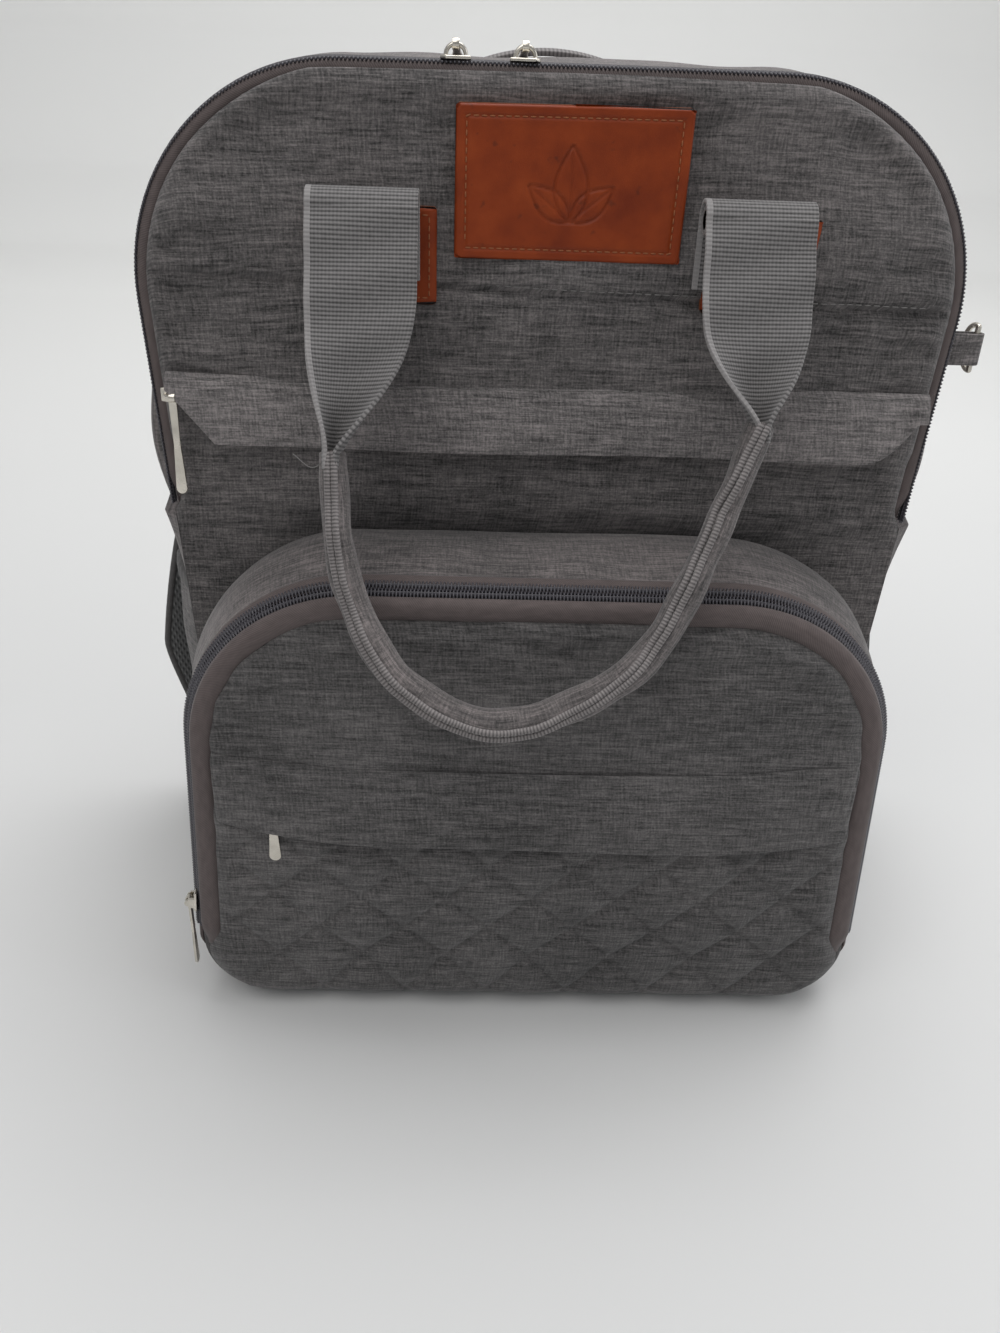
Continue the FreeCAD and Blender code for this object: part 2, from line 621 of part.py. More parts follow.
def main():
    os.makedirs("parts", exist_ok=True)
    for name in os.listdir("parts"):
        os.remove(os.path.join("parts", name))
    for build in (
        main_shell,
        main_zip,
        side_pocket,
        front_panel,
        weather_flap,
        handle_roots,
        side_ring,
        front_handle,
        front_pocket,
        welt,
        main_sliders,
        upper_pocket_slider,
        pocket_slider,
        welt_slider,
        shoulder_straps,
        ladder_locks,
        haul_loop,
    ):
        build()
    for name, shape in nodes.items():
        if not shape.isValid() or not shape.Solids:
            print("BAD SHAPE", name)
        shape.exportStep(os.path.join("parts", name + ".step"))
    print(len(nodes), "nodes")


main()
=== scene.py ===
import math
import bpy
import numpy as np
from mathutils import Matrix, Vector


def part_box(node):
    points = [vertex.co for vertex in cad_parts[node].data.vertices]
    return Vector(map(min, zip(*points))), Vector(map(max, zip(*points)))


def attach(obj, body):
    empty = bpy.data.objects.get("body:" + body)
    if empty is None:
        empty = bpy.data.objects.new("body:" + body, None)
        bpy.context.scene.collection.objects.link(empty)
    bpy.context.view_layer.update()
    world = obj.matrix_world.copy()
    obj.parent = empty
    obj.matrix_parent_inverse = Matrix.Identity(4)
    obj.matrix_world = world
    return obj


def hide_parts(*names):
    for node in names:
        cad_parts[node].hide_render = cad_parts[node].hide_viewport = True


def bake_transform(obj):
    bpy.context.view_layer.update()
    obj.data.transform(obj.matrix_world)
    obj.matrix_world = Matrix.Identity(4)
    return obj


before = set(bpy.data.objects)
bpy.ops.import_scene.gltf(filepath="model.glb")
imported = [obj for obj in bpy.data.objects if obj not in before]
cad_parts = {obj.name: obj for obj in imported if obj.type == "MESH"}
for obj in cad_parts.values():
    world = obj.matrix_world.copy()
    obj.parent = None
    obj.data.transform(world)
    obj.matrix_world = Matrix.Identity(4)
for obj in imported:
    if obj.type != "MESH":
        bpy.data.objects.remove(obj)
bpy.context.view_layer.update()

TAU = 2 * math.pi

# Lengths are metres. The bag's own sizes come from its CAD nodes.
shell_low, shell_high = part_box("gusset_shell")
BAG_H = shell_high.z
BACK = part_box("back_panel")[1].y
FRONT = shell_low.y
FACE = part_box("upper_front_panel")[0].y
FOLD_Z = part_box("upper_front_panel")[0].z - 0.002
POCKET_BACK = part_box("pocket_gusset")[1].y
POCKET_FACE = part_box("pocket_front")[0].y
POCKET_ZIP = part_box("pocket_zip_coil_rear")[1].y
BAG = [(-0.146, 0, 0.030), (0.146, 0, 0.030), (0.166, BAG_H, 0.081), (-0.166, BAG_H, 0.081)]
POCKET = [(-0.153, 0.003, 0.030), (0.153, 0.003, 0.030), (0.143, 0.216, 0.072), (-0.143, 0.216, 0.072)]


# ---- Shaders -------------------------------------------------------------------------------------


class Nodes:
    """Builds one procedural material. Coordinates are the UV map, in metres along the cloth."""

    def __init__(self, name, rough=0.8, metal=0.0, sheen=0.0):
        self.material = bpy.data.materials.new(name)
        self.material.use_nodes = True
        self.tree = self.material.node_tree
        self.shader = self.tree.nodes["Principled BSDF"]
        self.shader.inputs["Roughness"].default_value = rough
        self.shader.inputs["Metallic"].default_value = metal
        self.shader.inputs["Sheen Weight"].default_value = sheen
        self.shader.inputs["Sheen Roughness"].default_value = 0.5
        self.uv = self.add("ShaderNodeUVMap").outputs[0]

    def add(self, kind, **values):
        node = self.tree.nodes.new(kind)
        for key, value in values.items():
            setattr(node, key, value)
        return node

    def link(self, source, target):
        if isinstance(source, (int, float)):
            target.default_value = source
        else:
            self.tree.links.new(source, target)

    def math(self, operation, a, b=0.0):
        node = self.add("ShaderNodeMath", operation=operation)
        self.link(a, node.inputs[0])
        self.link(b, node.inputs[1])
        return node.outputs[0]

    def noise(self, sx, sy, detail=2.0, offset=0.0, rough=0.5):
        """Noise from 0 to 1, with sx and sy cells per metre along U and V."""
        mapping = self.add("ShaderNodeMapping")
        self.link(self.uv, mapping.inputs["Vector"])
        mapping.inputs["Scale"].default_value = (sx, sy, 1)
        mapping.inputs["Location"].default_value = (offset, offset * 0.7, 0)
        noise = self.add("ShaderNodeTexNoise")
        self.link(mapping.outputs[0], noise.inputs["Vector"])
        noise.inputs["Scale"].default_value = 1.0
        noise.inputs["Detail"].default_value = detail
        noise.inputs["Roughness"].default_value = rough
        return noise.outputs["Fac"]

    def wave(self, sx, sy, phase=0.0):
        """A sine from 0 to 1, with sx and sy periods per metre along U and V."""
        split = self.add("ShaderNodeSeparateXYZ")
        self.link(self.uv, split.inputs[0])
        turn = self.math("ADD", self.math("MULTIPLY", split.outputs[0], sx * TAU),
                         self.math("MULTIPLY", split.outputs[1], sy * TAU))
        sine = self.math("SINE", self.math("ADD", turn, phase))
        return self.math("MULTIPLY", self.math("ADD", sine, 1.0), 0.5)

    def total(self, *terms):
        """The sum of (value, weight) pairs."""
        result = self.math("MULTIPLY", *terms[0])
        for value, weight in terms[1:]:
            result = self.math("ADD", result, self.math("MULTIPLY", value, weight))
        return result

    def ramp(self, value, *stops):
        node = self.add("ShaderNodeValToRGB")
        self.link(value, node.inputs[0])
        elements = node.color_ramp.elements
        while len(elements) < len(stops):
            elements.new(0.5)
        for element, (place, colour) in zip(elements, stops):
            element.position = place
            element.color = (*colour, 1)
        return node.outputs[0]

    def mix(self, factor, a, b, blend="MIX"):
        node = self.add("ShaderNodeMix", data_type="RGBA", blend_type=blend)
        self.link(factor, node.inputs[0])
        for value, target in ((a, node.inputs[6]), (b, node.inputs[7])):
            if isinstance(value, tuple):
                target.default_value = (*value, 1)
            else:
                self.link(value, target)
        return node.outputs[2]

    def finish(self, colour=None, height=None, bump=0.3, distance=0.0004, rough=None):
        if isinstance(colour, tuple):
            self.shader.inputs["Base Color"].default_value = (*colour, 1)
        elif colour is not None:
            self.link(colour, self.shader.inputs["Base Color"])
        if rough is not None:
            self.link(rough, self.shader.inputs["Roughness"])
        if height is not None:
            node = self.add("ShaderNodeBump")
            node.inputs["Strength"].default_value = bump
            node.inputs["Distance"].default_value = distance
            self.link(height, node.inputs["Height"])
            self.link(node.outputs[0], self.shader.inputs["Normal"])
        return self.material


def grey(value, warm=0.0):
    return (value * (1 + 2.0 * warm), value * (1 - 0.6 * warm), value * (1 - 0.9 * warm))


THREADS = 1700      # threads in a metre of the cloth


def melange(name, dark, light, warm):
    """Two-tone plain weave: long slubs along U, shorter ones along V, and single threads."""
    n = Nodes(name, rough=0.92, sheen=0.15)
    weft = n.noise(85, 1150, 3, 3.1, 0.6)
    warp = n.noise(1200, 120, 2, 7.7)
    broad = n.noise(34, 330, 3, 1.3)
    grain = n.noise(1000, 1000, 2, 9.1, 0.7)
    # Broad blotches of tone: partly the heathered cloth's own, partly painted soft shading of wrinkles.
    cloud = n.noise(14, 16, 2, 5.5)
    mixed = n.total((weft, 0.38), (warp, 0.22), (broad, 0.20), (grain, 0.26), (cloud, 0.16))
    mixed = n.math("DIVIDE", mixed, 1.22)
    middle = grey((dark + light) / 2 * 0.85, warm * 1.4)
    colour = n.ramp(mixed, (0.41, grey(dark, warm)), (0.5, middle), (0.60, grey(light, warm * 1.8)))
    threads = n.math("MULTIPLY", n.wave(THREADS, 0), n.wave(0, THREADS))
    return n.finish(colour, n.total((threads, 0.25), (mixed, 1.6)), 0.55, 0.00035)


PLAIN_EDGE = 0.0021


def ribbed(name, low, high, warm=0.02, along=560, across=800, width=0.0):
    """Ribbed webbing: ribs across V with faint wales along U. A width adds plain, paler edges."""
    n = Nodes(name, rough=0.8, sheen=0.15)
    ribs, wales = n.wave(0, along), n.wave(across, 0)
    dashes = n.math("POWER", ribs, 0.75)
    shade = n.total((dashes, 0.55), (wales, 0.17), (n.noise(500, 700, 3), 0.30))
    colour = n.ramp(shade, (0.1, grey(low, warm)), (0.9, grey(high, warm)))
    if width:
        split = n.add("ShaderNodeSeparateXYZ")
        n.link(n.uv, split.inputs[0])
        away = n.math("ABSOLUTE", n.math("SUBTRACT", split.outputs[0], width / 2))
        edge = n.math("GREATER_THAN", away, width / 2 - PLAIN_EDGE)
        colour = n.mix(edge, colour, grey(high * 1.12, warm))
        shade = n.math("ADD", shade, n.math("MULTIPLY", edge, 0.5))
    return n.finish(colour, shade, 0.6, 0.0005)


def herringbone(name, base, warm):
    """Zip tape: a fine ribbed weave, nearly plain from a distance."""
    n = Nodes(name, rough=0.8, sheen=0.1)
    shade = n.total((n.wave(1100, 900), 0.4), (n.noise(160, 500), 0.6))
    colour = n.ramp(shade, (0.25, grey(base * 0.72, warm)), (0.75, grey(base * 1.25, warm)))
    return n.finish(colour, shade, 0.35, 0.0003)


def spacer_mesh(name, low, high):
    n = Nodes(name, rough=0.95, sheen=0.3)
    holes = n.math("MULTIPLY", n.wave(330, 190), n.wave(330, -190))
    colour = n.ramp(holes, (0.1, grey(high)), (0.55, grey(low)))
    return n.finish(colour, n.math("MULTIPLY", holes, -1.0), 0.8, 0.0008)


def hide(name):
    """Smooth pull-up leather: reddish brown, mottled, with faint pores and a few darker marks."""
    n = Nodes(name, rough=0.55)
    n.shader.inputs["Specular IOR Level"].default_value = 0.22
    cloud, fine = n.noise(60, 60, 4, 2.2), n.noise(2200, 2200, 2, 4.0)
    dark, middle, light = (0.155, 0.021, 0.0035), (0.220, 0.033, 0.0045), (0.275, 0.047, 0.0075)
    colour = n.ramp(cloud, (0.3, dark), (0.55, middle), (0.8, light))
    marks = n.ramp(n.noise(190, 190, 2, 8.0), (0.25, (1.0, 1.0, 1.0)), (0.33, (0, 0, 0)))
    colour = n.mix(n.math("MULTIPLY", marks, 0.5), colour, (0.07, 0.016, 0.006))
    dullness = n.math("ADD", n.math("MULTIPLY", cloud, 0.25), 0.34)
    return n.finish(colour, n.math("ADD", fine, cloud), 0.25, 0.0003, dullness)


def plain(name, colour, rough, metal=0.0, grain=900, strength=0.1, sheen=0.0):
    """A nearly even finish with fine unevenness in tone, roughness and surface."""
    n = Nodes(name, rough, metal, sheen)
    noise = n.noise(grain, grain, 3, 1.7)
    light = tuple(min(c * 1.18, 1.0) for c in colour)
    dull = tuple(c * 0.82 for c in colour)
    tone = n.ramp(noise, (0.3, dull), (0.7, light))
    roughness = n.math("ADD", n.math("MULTIPLY", noise, 0.16), rough - 0.08)
    return n.finish(tone, noise, strength, 0.0002, roughness)


CLOTH = melange("melange_cloth", 0.018, 0.180, 0.022)
# A darker copy of the main cloth: painted shade on the low pocket, which faces away from the light above. The
# welt uses it too.
SHADED_POCKET_CLOTH = melange("melange_pocket_painted_shade", 0.017, 0.140, 0.015)
# A lighter copy of the main cloth: painted light, for the flap that tilts up towards the lamps. The side tab
# uses it too.
PAINTED_LIGHT_CLOTH = melange("melange_painted_light", 0.040, 0.26, 0.022)
GUSSET_CLOTH = melange("melange_gusset", 0.033, 0.20, 0.03)
WEBBING = ribbed("grey_webbing", 0.05, 0.20, 0.035)
EDGED_WEBBING = ribbed("edged_webbing", 0.016, 0.205, 0.018, along=640, width=0.0406)
CORD = ribbed("grip_edge", 0.055, 0.24, 0.035, 760, 300)
BLACK_WEBBING = ribbed("dark_webbing", 0.09, 0.24)
TAPE = herringbone("zip_tape", 0.078, 0.10)
EDGE_TAPE = herringbone("binding_tape", 0.07, 0.02)
MESH = spacer_mesh("spacer_mesh", 0.012, 0.045)
LEATHER = hide("leather")
LEATHER_EDGE = plain("leather_edge", (0.26, 0.07, 0.02), 0.6)
THREAD = plain("thread", (0.26, 0.085, 0.028), 0.7)
GREY_THREAD = plain("grey_thread", (0.16, 0.155, 0.15), 0.8)
COIL = plain("zip_coil", (0.050, 0.047, 0.056), 0.36)
NICKEL = plain("nickel", (0.62, 0.585, 0.52), 0.26, 1.0, 120, 0.01)
LINING = plain("lining", (0.26, 0.26, 0.27), 0.75, 0.0, 700, 0.25, 0.2)
SILVER = plain("insulation", (0.55, 0.56, 0.58), 0.4, 0.35, 130, 0.5)
BLACK_PLASTIC = plain("black_plastic", (0.018, 0.018, 0.02), 0.42)


# ---- Meshes --------------------------------------------------------------------------------------


def build(name, verts, faces, material, uv=None, smooth=True):
    """A mesh object from arrays, with one UV pair for each face corner, in metres."""
    data = bpy.data.meshes.new(name)
    points = np.asarray(verts, float)
    data.from_pydata([tuple(v) for v in points], [], [tuple(int(i) for i in f) for f in faces])
    layer = data.uv_layers.new(name="UVMap")
    if uv is None:
        index = np.array([loop.vertex_index for loop in data.loops])
        co = points[index]
        uv = np.stack([co[:, 0] + co[:, 1] * 0.6, co[:, 2] + co[:, 1] * 0.8], 1)
    layer.data.foreach_set("uv", np.asarray(uv, np.float32).ravel())
    data.materials.append(material)
    data.validate()
    data.polygons.foreach_set("use_smooth", [smooth] * len(data.polygons))
    obj = bpy.data.objects.new(name, data)
    bpy.context.scene.collection.objects.link(obj)
    return obj


def grid(name, points, material, wrap=False, flip=False):
    """A sheet through rows of points. UVs are the distances along it."""
    p = np.asarray(points, float)
    rows, cols = p.shape[:2]
    q = np.concatenate([p, p[:, :1]], 1) if wrap else p
    u = np.concatenate([[0], np.cumsum(np.linalg.norm(np.diff(q, axis=1), axis=2).mean(0))])
    v = np.concatenate([[0], np.cumsum(np.linalg.norm(np.diff(q, axis=0), axis=2).mean(1))])
    r, c = (a.ravel() for a in np.meshgrid(range(rows - 1), range(len(u) - 1), indexing="ij"))
    d = (c + 1) % cols
    faces = np.stack([r * cols + c, r * cols + d, (r + 1) * cols + d, (r + 1) * cols + c], 1)
    uv = np.stack([np.stack([u[c], v[r]], 1), np.stack([u[c + 1], v[r]], 1),
                   np.stack([u[c + 1], v[r + 1]], 1), np.stack([u[c], v[r + 1]], 1)], 1)
    if flip:
        faces, uv = faces[:, ::-1], uv[:, ::-1]
    return build(name, p.reshape(-1, 3), faces, material, uv.reshape(-1, 2))


def thicken(obj, thickness, offset=-1.0, bevel=0.0):
    """Gives a sheet its thickness, and keeps the result as the mesh."""
    solid = obj.modifiers.new("solid", "SOLIDIFY")
    solid.thickness, solid.offset, solid.use_even_offset = thickness, offset, False
    if bevel:
        rounded = obj.modifiers.new("bevel", "BEVEL")
        rounded.width, rounded.segments, rounded.limit_method = bevel, 3, "ANGLE"
    return applied(obj)


def applied(obj):
    """Applies the modifiers."""
    graph = bpy.context.evaluated_depsgraph_get()
    graph.update()
    data = bpy.data.meshes.new_from_object(obj.evaluated_get(graph))
    obj.modifiers.clear()
    obj.data = data
    return obj


def join(name, objects):
    """One object from several. They may carry different materials."""
    with bpy.context.temp_override(active_object=objects[0], selected_editable_objects=objects):
        bpy.ops.object.join()
    objects[0].name = name
    return objects[0]


def distances(p):
    """The distance along a path at each of its points."""
    return np.concatenate([[0], np.cumsum(np.linalg.norm(np.diff(p, axis=0), axis=1))])


def sampled(p, s, at):
    """The path's points at given distances along it."""
    return np.stack([np.interp(at, s, p[:, k]) for k in range(p.shape[1])], 1)


def frames_along(path, up, closed=False):
    """For each point of a path: its direction, a side vector and a normal."""
    p = np.asarray(path, float)
    t = np.roll(p, -1, 0) - np.roll(p, 1, 0) if closed else np.gradient(p, axis=0)
    t /= np.linalg.norm(t, axis=1)[:, None] + 1e-12
    up = np.broadcast_to(np.asarray(up, float), p.shape)
    side = np.cross(t, up)
    side /= np.linalg.norm(side, axis=1)[:, None] + 1e-12
    return t, side, np.cross(side, t)


def tube(name, path, profile, material, up=(0, 1, 0), closed=False, caps=True):
    """Sweeps a closed profile of (side, normal) pairs, one for all points or one for each, along a path."""
    p = np.asarray(path, float)
    _, side, normal = frames_along(p, up, closed)
    profile = np.asarray(profile, float)
    if profile.ndim == 2:
        profile = np.broadcast_to(profile, (len(p), *profile.shape))
    points = p[:, None] + profile[:, :, :1] * side[:, None] + profile[:, :, 1:] * normal[:, None]
    if closed:
        points = np.concatenate([points, points[:1]], 0)
    obj = grid(name, points, material, wrap=True)
    if caps and not closed:
        data, k = obj.data, profile.shape[1]
        ends = [tuple(range(k))[::-1], tuple(range((len(p) - 1) * k, len(p) * k))]
        cap = build(name + "_cap", [v.co for v in data.vertices], ends, material)
        obj = join(name, [obj, cap])
    return obj


def oval(a, b, n=12, power=2.0):
    """A closed profile: an ellipse, or squarer with a higher power."""
    t = np.arange(n) / n * TAU
    c, s = np.cos(t), np.sin(t)
    return np.stack([a * np.sign(c) * abs(c) ** (2 / power), b * np.sign(s) * abs(s) ** (2 / power)], 1)


def outline(corners, inset=0.0, step=0.002):
    """Points (x, z) evenly round a rounded outline, anticlockwise, and their outward normals."""
    lines, points = [], []
    for (x0, z0, _), (x1, z1, _) in zip(corners, corners[1:] + corners[:1]):
        length = math.hypot(x1 - x0, z1 - z0)
        ux, uz = (x1 - x0) / length, (z1 - z0) / length
        lines.append((x0 - uz * inset, z0 + ux * inset, ux, uz))
    for i, (_, _, radius) in enumerate(corners):
        (ax, az, au, aw), (bx, bz, bu, bw) = lines[i - 1], lines[i]
        t = ((bx - ax) * bw - (bz - az) * bu) / (au * bw - aw * bu)
        corner, r = np.array([ax + au * t, az + aw * t]), max(radius - inset, 0.0005)
        u, w = np.array([au, aw]), np.array([bu, bw])
        half = math.acos(float(u @ w)) / 2
        centre = corner + (w - u) / np.linalg.norm(w - u) * (r / math.cos(half))
        start = corner - u * (r * math.tan(half)) - centre
        for k in range(25):
            c, s = math.cos(2 * half * k / 24), math.sin(2 * half * k / 24)
            points.append(centre + [start[0] * c - start[1] * s, start[0] * s + start[1] * c])
    p = np.array(points + points[:1])
    s = distances(p)
    q = sampled(p, s, np.linspace(0, s[-1], max(int(s[-1] / step), 8), endpoint=False))
    t = np.roll(q, -1, 0) - np.roll(q, 1, 0)
    t /= np.linalg.norm(t, axis=1)[:, None]
    return q, np.stack([t[:, 1], -t[:, 0]], 1)


def from_base(corners, step):
    """The outline from the middle of its base, with its normals and the distance along it."""
    q, n = outline(corners, 0.0, step)
    start = int(np.argmin(abs(q[:, 0]) + q[:, 1] * 10))
    return np.roll(q, -start, 0), np.roll(n, -start, 0), np.arange(len(q)) * step


def at_depth(q, y):
    """Outline points (x, z) as points in space, at a depth y."""
    return np.stack([q[:, 0], np.broadcast_to(y, len(q)), q[:, 1]], 1)


def roll_off(d, radius):
    """From 1 at an edge down to 0 at a radius inside it, on a round profile."""
    return 1 - np.sqrt(1 - (1 - np.clip(d / radius, 0, 1)) ** 2)


def arch(corners, inset, low, step=0.002):
    """The outline's part above low, as an open run from the right-hand side over the top to the left."""
    q, n = outline(corners, inset, step)
    start = int(np.argmin(q[:, 1]))
    q, n = np.roll(q, -start, 0), np.roll(n, -start, 0)
    keep = q[:, 1] > low
    return q[keep], n[keep]


def span(corners, inset, z):
    """The outline's left and right X at each height z."""
    q, _ = outline(corners, inset, 0.0006)
    middle = (q[:, 0].min() + q[:, 0].max()) / 2
    ends = []
    for side in (-1, 1):
        run = q[(q[:, 0] - middle) * side >= 0]
        run = run[np.argsort(run[:, 1])]
        ends.append(np.interp(z, run[:, 1], run[:, 0]))
    return ends


def half_width(corners, inset, z):
    """Half the width of an outline that is centred on X at each height z."""
    return span(corners, inset, z)[1]


def edge_distance(corners, inset, x, z):
    """Each point's distance inside the outline."""
    q, _ = outline(corners, inset, 0.003)
    best = np.full(x.shape, 1.0)
    for a, b in zip(q, np.roll(q, -1, 0)):
        run = b - a
        t = np.clip(((x - a[0]) * run[0] + (z - a[1]) * run[1]) / (run @ run), 0, 1)
        best = np.minimum(best, np.hypot(x - a[0] - run[0] * t, z - a[1] - run[1] * t))
    return best


def ripple(u, v, length, seed, lean=0.0, count=14):
    """Smooth uneven folds from -1 to 1, about as long as length. Lean above 0 stretches them along U."""
    rng = np.random.default_rng(seed)
    total = 0
    for _ in range(count):
        angle, phase, scale = rng.uniform(0, math.pi), rng.uniform(0, TAU), rng.uniform(0.7, 1.6)
        ku = math.cos(angle) * (1 - lean)
        total = total + np.sin((u * ku + v * math.sin(angle)) * TAU * scale / length + phase)
    return total / math.sqrt(count) / 1.6


def smooth(a, b, x):
    t = np.clip((np.asarray(x, float) - a) / (b - a), 0, 1)
    return t * t * (3 - 2 * t)


def sheet_grid(corners, inset, low, step):
    """Rows of (x, z) that fill the outline above low, closer together towards its top and bottom edges."""
    q, _ = outline(corners, inset, 0.001)
    top = q[:, 1].max()
    bottom = max(low, q[:, 1].min())
    rows = int((top - bottom) / step)
    t = np.linspace(0, 1, rows)
    t = t if low > q[:, 1].min() else (t * 0.7 + 0.3 * (1 - np.cos(t * math.pi)) / 2)
    t = t * 0.6 + 0.4 * np.sin(t * math.pi / 2)
    z = bottom + (top - bottom) * t
    left, right = span(corners, inset, z)
    cols = max(int((right - left).max() / step), 4)
    across = np.linspace(0, 1, cols)[None]
    return left[:, None] * (1 - across) + right[:, None] * across, np.repeat(z[:, None], cols, 1)


def done(obj, body, slot, *nodes):
    """Rides a piece on its body, and hides the CAD nodes that it stands for. The slot is not used."""
    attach(obj, body)
    if nodes:
        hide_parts(*nodes)
    return obj


# ---- Small repeated things -----------------------------------------------------------------------


def beads(name, centres, axes, ups, half_length, radius, material, flat=1.0):
    """Many short rounded bars in one mesh: zip teeth or stitches, each along its axis."""
    c, a, u = (np.asarray(v, float) for v in (centres, axes, ups))
    a = a / np.linalg.norm(a, axis=1)[:, None]
    side = np.cross(a, u)
    side /= np.linalg.norm(side, axis=1)[:, None]
    u = np.cross(side, a)
    rings = [(-1.0, 0.35), (-0.82, 0.85), (0.0, 1.0), (0.82, 0.85), (1.0, 0.35)]
    angles = np.arange(6) / 6 * TAU
    verts = []
    for place, wide in rings:
        for t in angles:
            verts.append(c + a * half_length * place + side * radius * wide * math.cos(t)
                         + u * radius * flat * wide * math.sin(t))
    verts = np.stack(verts, 1)
    one = [(r * 6 + k, r * 6 + (k + 1) % 6, (r + 1) * 6 + (k + 1) % 6, (r + 1) * 6 + k)
           for r in range(4) for k in range(6)]
    faces = [tuple(i * 30 + j for j in f) for i in range(len(c)) for f in one]
    faces += [tuple(i * 30 + j for j in range(5, -1, -1)) for i in range(len(c))]
    faces += [tuple(i * 30 + j for j in range(24, 30)) for i in range(len(c))]
    return build(name, verts.reshape(-1, 3), faces, material)


def even(path, pitch, phase=0.0):
    """Points and directions at an even pitch along a path."""
    p = np.asarray(path, float)
    s = distances(p)
    at = np.arange(pitch * (0.5 + phase), s[-1] - pitch * 0.2, pitch)
    return sampled(p, s, at), sampled(p, s, at + 1e-4) - sampled(p, s, at - 1e-4)


def stitches(name, path, up, material=GREY_THREAD, pitch=0.0036, radius=0.00032):
    q, along = even(path, pitch)
    return beads(name, q, along, np.broadcast_to(up, q.shape), pitch * 0.34, radius, material)


TOOTH = 0.0021          # half the length of a zip's tooth


def ring_teeth(name, corners, y, low, phase, inset=-0.0001, tilt=0.0, pitch=0.0015, size=1.0):
    """One side of a coil: teeth across a dark core, round an outline's arch. Tilt leans the zip outwards."""
    path = at_depth(arch(corners, inset, low, 0.0005)[0], y)
    at, along = even(path, pitch, phase)
    outward = np.cross(along, (0, 1, 0))
    outward = outward * np.sign((outward * (at - (0, y, 0.15))).sum(1))[:, None]
    outward /= np.linalg.norm(outward, axis=1)[:, None]
    back = np.array([0.0, 1.0, 0.0])
    across = back * math.cos(tilt) + outward * math.sin(tilt)
    above = outward * math.cos(tilt) - back * math.sin(tilt)
    teeth = beads(name, at, across, above, TOOTH * size, pitch * 0.36, COIL, 1.4)
    return join(name, [teeth, tube(name + "_core", path[::4], oval(0.0009, 0.0003), COIL)])


def ring_strip(name, corners, profile, low, material):
    """A strip round an outline's arch. The profile is (inset, y) pairs across it."""
    step = 0.002
    q, n = arch(corners, 0, low, step)
    from_end = np.minimum(np.arange(len(q)), np.arange(len(q))[::-1]) * step
    tuck = 0.0032 * smooth(0.014, 0.0, from_end)
    rows = []
    for inset, y in profile:
        p = q - n * (inset + tuck * 0.6)[:, None]
        rows.append(at_depth(p, y + tuck))
    return grid(name, rows, material)


def cad_copy(node, material, bevel=0.00018):
    """A CAD node's shape with its edges rounded off."""
    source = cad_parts[node]
    data = source.data.copy()
    obj = bpy.data.objects.new(node + "_fine", data)
    bpy.context.scene.collection.objects.link(obj)
    weld = obj.modifiers.new("weld", "WELD")
    weld.merge_threshold = 0.00001
    rounded = obj.modifiers.new("bevel", "BEVEL")
    rounded.width, rounded.segments, rounded.limit_method = bevel, 2, "ANGLE"
    rounded.angle_limit = math.radians(40)
    rounded.use_clamp_overlap = True
    applied(obj)
    verts = [v.co.copy() for v in obj.data.vertices]
    faces = [tuple(p.vertices) for p in obj.data.polygons]
    bpy.data.objects.remove(obj)
    fine = build(node + "_fine", verts, faces, material)
    fine.data.set_sharp_from_angle(angle=math.radians(50))
    return fine


def pillow(name, corners, y, thick, material, roll_in=0.003, step=0.0022, back=False, lift=None, shape=None):
    """A flat piece with soft rolled edges, on the plane y, whose face looks to -Y, or to +Y at the back."""
    x, z = shape or sheet_grid(corners, 0, -1, step)
    d = edge_distance(corners, 0, x, z)
    rise = thick * np.sqrt(1 - (1 - np.clip(d / roll_in, 0, 1)) ** 2)
    rise = rise + (lift(x, z, d) if lift else 0)
    return sheet(name, x, y + rise if back else y - rise, z, material, flip=back)


def planar(obj):
    """UVs from X and Z, in metres."""
    data = obj.data
    index = np.empty(len(data.loops), np.int32)
    data.loops.foreach_get("vertex_index", index)
    co = np.empty(len(data.vertices) * 3, np.float32)
    data.vertices.foreach_get("co", co)
    co = co.reshape(-1, 3)[index]
    uv = np.stack([co[:, 0] + co[:, 1] * 0.4, co[:, 2] + co[:, 1] * 0.6], 1)
    data.uv_layers[0].data.foreach_set("uv", uv.astype(np.float32).ravel())
    return obj


def sheet(name, x, y, z, material, flip=False):
    """A sheet through a grid of X and Z at a depth y, with UVs from X and Z."""
    return planar(grid(name, np.stack([x, np.broadcast_to(y, x.shape), z], 2), material, flip=flip))


def rect(x0, x1, z0, z1, r):
    return [(x0, z0, r), (x1, z0, r), (x1, z1, r), (x0, z1, r)]


# ---- The main bag --------------------------------------------------------------------------------

PANEL_INSET = 0.0042
LINING_INSET = 0.0042
LINING_BACK = 0.0745
TAPE_THICK = 0.0007
FINE_THREAD = 0.00022
SEAM_Z, SEAM_SLOPE = 0.3215, 0.022


